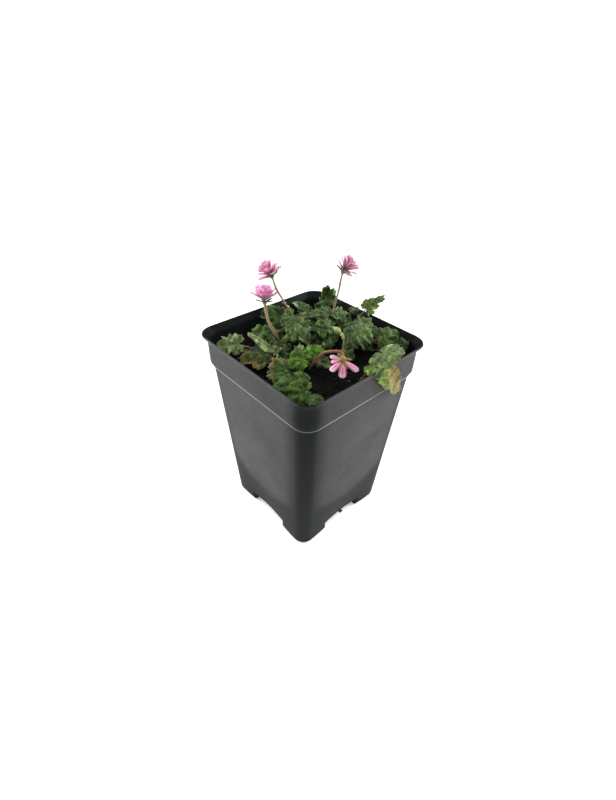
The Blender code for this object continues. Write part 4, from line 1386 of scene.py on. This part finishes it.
@dataclass
class RootTip:
    """A few roots that come out of a drain hole and show at the foot of the wall."""

    hole: tuple = (23, 0, 9.4)
    end: tuple = (34.7, 0.4, 4.7)

    def build(self) -> bpy.types.Object:
        """Build the roots."""
        body = Body()
        chance = random.Random(3)
        for index in range(6):
            start = (np.array(self.hole) + [chance.uniform(-1, 1), chance.uniform(-1, 1), 0]) * MM
            stray = [chance.uniform(-0.9, 0.5), chance.uniform(-1.6, 1.6), chance.uniform(-0.5, 0.5)]
            turn = np.array([start[0] + 2 * MM, start[1], 3.6 * MM])
            radii = chance.uniform(0.28, 0.5) * MM * (1 + 0.25 * np.sin(np.arange(15) * 1.9 + index))
            body.tube(bend(start, turn, (np.array(self.end) + stray) * MM, 14), radii, linear("#2b2521"), 7)
        return body.mesh_object("root_tips", Finish.DRY)


@dataclass
class Studio:
    """White floor, soft light and the photograph's camera.

    Attributes:
        azimuth: Direction of the camera round the object, in degrees.
        elevation: Its height above the horizon, in degrees.
        roll: Its roll, in degrees.
        distance: Distance from the aim point, in metres.
        aim: The point it looks at, in millimetres.
        lens: Focal length for a 36 mm sensor, in millimetres.
        sky: Brightness of the surroundings above the horizon's pale band.
        ceiling: Strength of the even light from above.
        box_size: Width of each soft box, in metres.
        box_power: Power of each soft box, in watts.
    """

    azimuth: float = 46.3316
    elevation: float = 38.2021
    roll: float = 2.1082
    distance: float = 264.091 * MM
    aim: tuple = (-0.7098, -0.7435, 79.7143)
    lens: float = 19.40165
    sky: float = 0.42
    ceiling: float = 2.0
    box_size: float = 0.2
    box_power: float = 1.5

    def camera(self) -> None:
        """Add the camera at the photograph's viewing angle."""
        azimuth, elevation, roll = map(math.radians, (self.azimuth, self.elevation, self.roll))
        level = math.cos(elevation)
        back = Vector((math.sin(azimuth) * level, -math.cos(azimuth) * level, math.sin(elevation)))
        right = Vector((math.cos(azimuth), math.sin(azimuth), 0))
        up = back.cross(right)
        across = right * math.cos(roll) + up * math.sin(roll)
        above = up * math.cos(roll) - right * math.sin(roll)
        lens = bpy.data.cameras.new("camera")
        lens.lens = self.lens
        lens.sensor_width = 36
        lens.sensor_fit = "AUTO"
        lens.clip_start = 0.01
        lens.clip_end = 20
        thing = add_object("camera", lens)
        turn = Matrix((across, above, back)).transposed().to_4x4()
        thing.matrix_world = Matrix.Translation(Vector(self.aim) * MM + back * self.distance) @ turn
        bpy.context.scene.camera = thing

    def soft_box(self, name: str, place: tuple) -> None:
        """Add a square soft light that shines at the pot's rim."""
        lamp = bpy.data.lights.new(name, "AREA")
        lamp.size = self.box_size
        lamp.energy = self.box_power
        way = Vector((0, 0, 0.1)) - Vector(place)
        turn = way.to_track_quat("-Z", "Y").to_matrix().to_4x4()
        add_object(name, lamp).matrix_world = Matrix.Translation(place) @ turn

    def build(self) -> None:
        """Set the floor, the surrounding light and the soft boxes."""
        corners = np.array([(-9, -9, 0), (9, -9, 0), (9, 9, 0), (-9, 9, 0)])
        add_mesh("floor", corners, [(0, 1, 2, 3)], Finish.PAPER)
        world = bpy.data.worlds.new("studio")
        bpy.context.scene.world = world
        bpy.context.scene.view_settings.view_transform = "Standard"
        world.use_nodes = True
        add = partial(add_node, world.node_tree)
        way = add("ShaderNodeTexCoord").outputs["Generated"]
        height = add("ShaderNodeSeparateXYZ", {0: way}).outputs["Z"]
        glow = add("ShaderNodeMapRange", {"Value": height, "From Min": 0.1, "From Max": 0.3, "To Min": 1.06,
                                          "To Max": self.sky}, interpolation_type="SMOOTHSTEP")
        feed(world.node_tree.nodes["Background"], {"Color": (1, 1, 1, 1), "Strength": glow})
        overhead = bpy.data.lights.new("ceiling", "SUN")
        overhead.energy = self.ceiling
        overhead.angle = math.radians(110)
        add_object("ceiling", overhead)
        self.soft_box("soft box left", (-0.31, -0.17, 0.2))
        self.soft_box("soft box right", (0.17, 0.31, 0.2))


OPEN_RINGS = (
    Ring(8, 9.8, 4.6, 24, -90, 0.3, 0.04, 0.04, 0.14, 6, 0.3, point=3.4),
    Ring(7, 9.4, 4.3, 42, -66, 0.35, 0.06, 0.06, 0.18, 8, 0.3, point=3.2),
    Ring(6, 8.8, 3.9, 60, 10, 0.4, 0.08, 0.07, 0.2, 9, 0.3, point=3.0),
    Ring(5, 7.8, 3.2, 75, 30, 0.45, 0.1, 0.05, 0.2, 10, point=3.0),
)
BALL_RINGS = (
    Ring(6, 8.6, 4.3, 6, -92, 0.3, 0.05, -0.02, 0.16, 7, 0.3, point=3.2),
    Ring(7, 8.0, 4.0, 28, -62, 0.35, 0.06, 0.1, 0.2, 9, 0.3, point=3.0),
    Ring(7, 7.7, 3.6, 48, 5, 0.4, 0.08, 0.14, 0.22, 9, 0.3, point=3.0),
    Ring(6, 7.1, 3.1, 66, 30, 0.45, 0.1, 0.1, 0.2, 10, point=3.0),
    Ring(4, 6.4, 2.6, 80, 0, 0.5, 0.1, 0.05, 0.2, 10, point=3.0),
)
SIDE_PLACES = ((55, 50, 1.0), (18, 60, 0.9), (85, 68, 0.85), (320, 70, 1.0), (300, 56, 1.0),
               (270, 42, 0.85), (290, 22, 0.8), (20, 8, 0.85), (40, 24, 0.95), (180, 52, 0.9),
               (130, 56, 0.85), (225, 60, 0.85), (98, 38, 0.92))
SIDE_RINGS = (Ring(13, 9.8, 5.0, 0, 0, 0.3, 0.05, 0.03, 0.2, 4, 0.32, places=SIDE_PLACES, point=3.4),)
NODDING_PLACES = ((0, 22, 1.0), (48, 16, 0.9), (85, 10, 0.66), (116, 6, 0.72), (-62, 14, 1.03))
NODDING_RINGS = (Ring(5, 9.4, 4.0, 14, 0.0, 0.3, 0.02, 0.04, 0.08, 2, 0.32, places=NODDING_PLACES),)
THREADS = Ring(9, 4.6, 0.7, 62, 0, 0.2, 0.0, 0.03, 0.05, 14, 0.8, 0.16, rows=7, columns=5)
BRACTS = Ring(3, 3.0, 1.2, -35, half=0.1, start=0.2, rows=7, columns=5)
DOUBLE_SEPALS = Ring(5, 6.0, 1.8, 12, -84, 0.5, 0.0, 0.03, 0.06, 8, 0.7, 0.2, point=1.2, rows=12, columns=7)
SEPAL_PLACES = ((24, 42, 1.05), (68, 30, 0.8), (-32, 40, 1.1), (-100, 16, 0.8), (150, 10, 0.8))
NODDING_SEPALS = Ring(5, 5.8, 1.7, 24, 0, 0.7, 0.0, 0.04, 0.06, 5, 0.8, 0.2, SEPAL_PLACES, 1.0, rows=12,
                      columns=7)

ROSE = PetalInk("#ec97c6", "#bd5887", "#f4c4e0", "#b5409a", 2, 0.7)
DEEP_ROSE = PetalInk("#d283ab", "#94305f", "#e6b1ca", "#9c3b73", 2, 0.7)
DUSKY_ROSE = PetalInk("#d08ba9", "#8a3350", "#e2b3c9", "#93346c", 2, 0.7)
SHELL_PINK = PetalInk("#eea6c4", "#e8b4b0", "#f7cde0", "#a92f74", 3, 0.95)
SEPAL_GREEN = PetalInk("#515d3a", "#71743a", "#6d5552", "#3f4a2c", 3, 0.5)
SEPAL_GOLD = PetalInk("#85843a", "#a07f3c", "#8f8a50", "#5c5f26", 3, 0.6)
BRACT_INK = PetalInk("#c99a86", "#a97862", "#d8b9a4", "#a97862", 2, 0.3)

FLOWERS = (
    Flower("low_left", (-39.2, -2.2, 130.4), (-0.25, 0.22, 1),
           ((-16, -8, 104), (-16, -8, 114), (-18.8, -10.6, 121), (-26, -9.8, 126), (-33.8, -5.6, 128.6)),
           0.95, OPEN_RINGS, DOUBLE_SEPALS, ROSE, SEPAL_GREEN, ("#7a5545", "#7d7448"), 11),
    Flower("tall_left", (-38.3, 3.0, 145.2), (-0.58, -0.3, 1),
           ((-29, 13, 104), (-29, 13, 114), (-30.5, 9.5, 124), (-32.4, 6.2, 132), (-34.6, 3.2, 139)),
           0.6, BALL_RINGS, DOUBLE_SEPALS, DEEP_ROSE, SEPAL_GREEN, ("#9a7468", "#7a795c"), 12, True),
    Flower("tall_right", (-13.3, 35.2, 147.9), (0.42, 0.42, 1),
           ((-12, 27, 104), (-12, 27, 114), (-13, 29.7, 127), (-13.8, 33.6, 137), (-14, 34.9, 143)),
           0.6, SIDE_RINGS, DOUBLE_SEPALS, DUSKY_ROSE, SEPAL_GREEN, ("#8e6a58", "#80705f"), 13,
           heart="#c08872"),
    Flower("nodding", (29.8, -6.8, 127.6), (-0.22, 0.16, -0.96),
           ((11, -12, 104), (11, -12, 114), (17.4, -9.3, 125), (22.7, -9.1, 129), (27.5, -6, 129.9)),
           0.6, NODDING_RINGS, NODDING_SEPALS, SHELL_PINK, SEPAL_GOLD, ("#82543a", "#9a5f46"), 14),
)

STEMS = {
    "left": ((-17, -20), (
        Leaf((-26, -32, 119), (-33.5, -42, 119.6), 14, SILVER, 7, (-44, 62), fold=0.3, droop=0.25),
        Leaf((-4, -22, 121.5), (-25, -28.5, 125), 5, SILVER, 5, (-85, 20), fold=0.4, rough=0.6),
        Leaf((-10, -24, 117), (-13, -39.5, 118.5), 19.5, OLIVE, 7, (-60, 70), blush=Blush.TIP_ORANGE),
        Leaf((-19.3, -11.5, 119), (-34.3, -16.5, 122), 12.5, MID, 7, (-44, 60)),
        Leaf((-9, -12, 119), (-10, -21.5, 118), 10, DARK, 5),
        Leaf((-18, -12.5, 117), (-15.5, -23, 116), 9, DARK, 5),
    )),
    "far_left": ((-25, 4), (
        Leaf((-32.5, 4.5, 121.5), (-40, -6, 124), 15, MID, 7, (-44, 55)),
        Leaf((-24.5, 7, 125), (-24, -2.5, 122.5), 11, SAGE, 5),
        Leaf((-25.5, 1.5, 120), (-25, -8.5, 117), 9, DARK, 5),
        Leaf((-29, 3, 119.5), (-25, -5.5, 117), 8, DARK, 5),
    )),
    "back": ((-22, 29), (
        Leaf((-30.5, 24, 120), (-38.5, 20, 125), 9, SAGE, 5, (-20, 45)),
        Leaf((-27, 37.8, 122), (-25.3, 39, 136), 11, GREEN, 6, (-44, 12), back=0.5, droop=-0.1),
        Leaf((-21, 33.5, 123), (-29, 26.5, 121), 12.5, MID, 7, (-44, 50)),
        Leaf((-14.5, 21.5, 125), (-19.5, 13, 126), 9, SAGE, 5, (-44, 70)),
        Leaf((-13, 21.5, 127), (-3.5, 25, 127), 9, SAGE, 5, (-44, 70)),
    )),
    "back_right": ((-3, 32), (
        Leaf((-7, 26.5, 124), (-8, 36, 127), 11, SAGE, 5, (-44, 50)),
        Leaf((3.8, 40.4, 130), (7.4, 43.6, 135), 10.5, FRESH, 6, (-44, 40), back=0.5, stalk=0.7),
        Leaf((7.2, 43, 135), (11.5, 45, 138.6), 4.4, SAGE, 4, (-44, 30), droop=0.5, stalk=0.4),
        Leaf((-10.5, 31, 121), (-1, 27, 119), 9, SAGE, 5),
        Leaf((0, 32.5, 122), (8, 20, 118), 10, SAGE, 5),
    )),
    "right": ((16, 27), (
        Leaf((14, 25, 123.5), (2.5, 41, 127), 14, SAGE, 7, (-44, 65)),
        Leaf((13.5, 21.5, 125), (2.5, 23, 125), 12, MID, 7, (-60, 60)),
        Leaf((16, 17, 127.2), (25, 23, 125.5), 15, SAGE, 7, (-44, 65)),
        Leaf((13.5, 29, 123), (19.3, 32.6, 126), 10, SAGE, 5),
        Leaf((13.5, 21.5, 120), (13.5, 13, 117.5), 9, SAGE, 5),
        Leaf((24.5, 29, 123.5), (28, 41.5, 125), 13, GREEN, lobed=0.7),
        Leaf((18.5, 34, 119), (26, 33, 118), 9, OLIVE, 5),
        Leaf((32.5, 35.5, 119.5), (34, 42, 121.5), 10, DARK, 5),
        Leaf((17.5, 8, 120), (24, 9.5, 118), 8, OLIVE, 5),
        Leaf((18.5, 24.5, 118), (24, 25, 117), 7, DARK, 5),
    )),
    "rim": ((31, 15), (
        Leaf((39.6, 13.1, 126.9), (48.3, 14.9, 127.7), 24, PALE, 9, (-44, 86), fold=0.08, back=0.5,
             wave=0.0, sweep=158, lobed=0.3, rough=0.42),
    )),
    "front_centre": ((9, -10), (
        Leaf((11, -16, 121), (3.2, -21, 121), 14, BRIGHT, 7, (-44, 65), lobed=0.4),
        Leaf((11, -8, 119.5), (6, -8, 124.5), 15, BRIGHT, 7, (-44, 57), back=0.15, lobed=0.4),
        Leaf((7.5, -15.5, 124), (3, -14, 126), 6, SAGE, 5, (-44, 45), fold=0.6),
        Leaf((12, -5.5, 117), (21.5, -5.5, 117), 8, OLIVE, 5),
        Leaf((-9, -15.5, 116), (1, -21, 115.5), 8, DARK, 5),
        Leaf((5.5, -16.5, 117), (14, -21, 116), 8, DARK, 5),
    )),
    "front_left": ((17, -25), (
        Leaf((11.5, -28.5, 120), (7, -37.5, 119), 18, GREEN, 7, (-60, 60), blush=Blush.LEFT_PINK,
             lobed=0.6),
        Leaf((22, -27, 117), (12.5, -27, 118.5), 11, GREEN, 3, (-44, 52), notch=0.05, back=0.15, rough=0.5),
        Leaf((24.5, -31.5, 118), (15, -40, 119), 10, MID, 5, (-80, 60)),
    )),
    "front": ((31, -27), (
        Leaf((30.5, -31.5, 119), (26.5, -42.5, 119), 14, GREEN, 7, (-60, 52), blush=Blush.DRY_EDGE),
        Leaf((37, -33.5, 119), (42, -32.5, 121), 8, GREEN, 5),
    )),
    "centre": ((-8, 6), (
        Leaf((-14, -0.5, 125.5), (-0.5, -2.5, 122), 14, SAGE),
        Leaf((-20.2, 13, 123.9), (-21.8, 6.8, 124.2), 6.5, SAGE, 5, blush=Blush.RUST_SPOT),
        Leaf((-6, 13.5, 122), (-6.5, 5.5, 119), 11, MID, 5),
        Leaf((-4.5, 12.5, 123.5), (-3.5, 22, 123), 11, SAGE, 5),
        Leaf((-4, 16.5, 118), (-0.5, 5.5, 117), 9, MID, 5),
        Leaf((3.5, 11.5, 118), (3, 5.5, 118), 6, SAGE, 5),
        Leaf((-9, -3, 121), (-16, -10, 121), 7, SAGE, 5),
        Leaf((-22, 10.5, 122.6), (-11.5, 9, 121.5), 10, MID, 5),
        Leaf((-15, 22, 122), (-11, 10, 119.5), 11, MID, 5),
        Leaf((-11.5, 22, 121), (-1, 17.5, 119), 10, SAGE, 5),
        Leaf((-7.5, 11.5, 124.5), (1.5, 8, 122.5), 10, MID, 5),
        Leaf((-4.5, 22.5, 119), (3.5, 11.5, 118), 10, MID, 5),
        Leaf((-14, -2.5, 119), (-13, -11, 117), 9, DARK, 5),
    )),
}

YELLOWED = Leaf((43.9, 6.2, 125.2), (71, 26, 125.2), 14, FRESH, 7, (0, 90), fold=0.02, droop=0, wave=0.01,
                back=0.32, lean=0.3, drapes=True, blush=Blush.HALF_YELLOW, rough=0.6, lobed=0.5)
DRIED = Leaf((-4.5, 36, 127), (-2.5, 42, 128), 4, MID, 3, (-44, 50))


def main() -> None:
    """Build every piece in order and report it."""
    logging.basicConfig(level=logging.INFO, format="%(message)s")
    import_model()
    studio = Studio()
    studio.camera()
    studio.build()
    place_piece(NurseryPot().build(), "pot", "pot")
    place_piece(PeatBed().build(), "soil", "soil")
    place_piece(RootTip().build(), "soil")
    for number, (name, (crown, leaves)) in enumerate(STEMS.items()):
        stem = LeafyStem(f"foliage_{name}", crown, leaves, number + 1)
        place_piece(stem.build(), "leaf", f"leafy_stem_{name}")
    for name, crown, leaf, seed in (("yellowed", (36, 2), YELLOWED, 21), ("dried", (-2, 37), DRIED, 22)):
        stem = LeafyStem(f"foliage_{name}", crown, (leaf,), seed, stem_radius=0.77 * MM)
        place_piece(stem.build(), f"{name}_leaf", f"{name}_leaf")
    for flower in FLOWERS:
        slot = "pale_petal" if flower.name == "nodding" else "petal"
        place_piece(flower.petals(), slot, f"petals_{flower.name}")
        place_piece(flower.stalk(), "stalk", f"stalk_{flower.name}")
    place_piece(Bud().build(), "bud", "bud")
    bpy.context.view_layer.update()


if __name__ == "__main__":
    main()
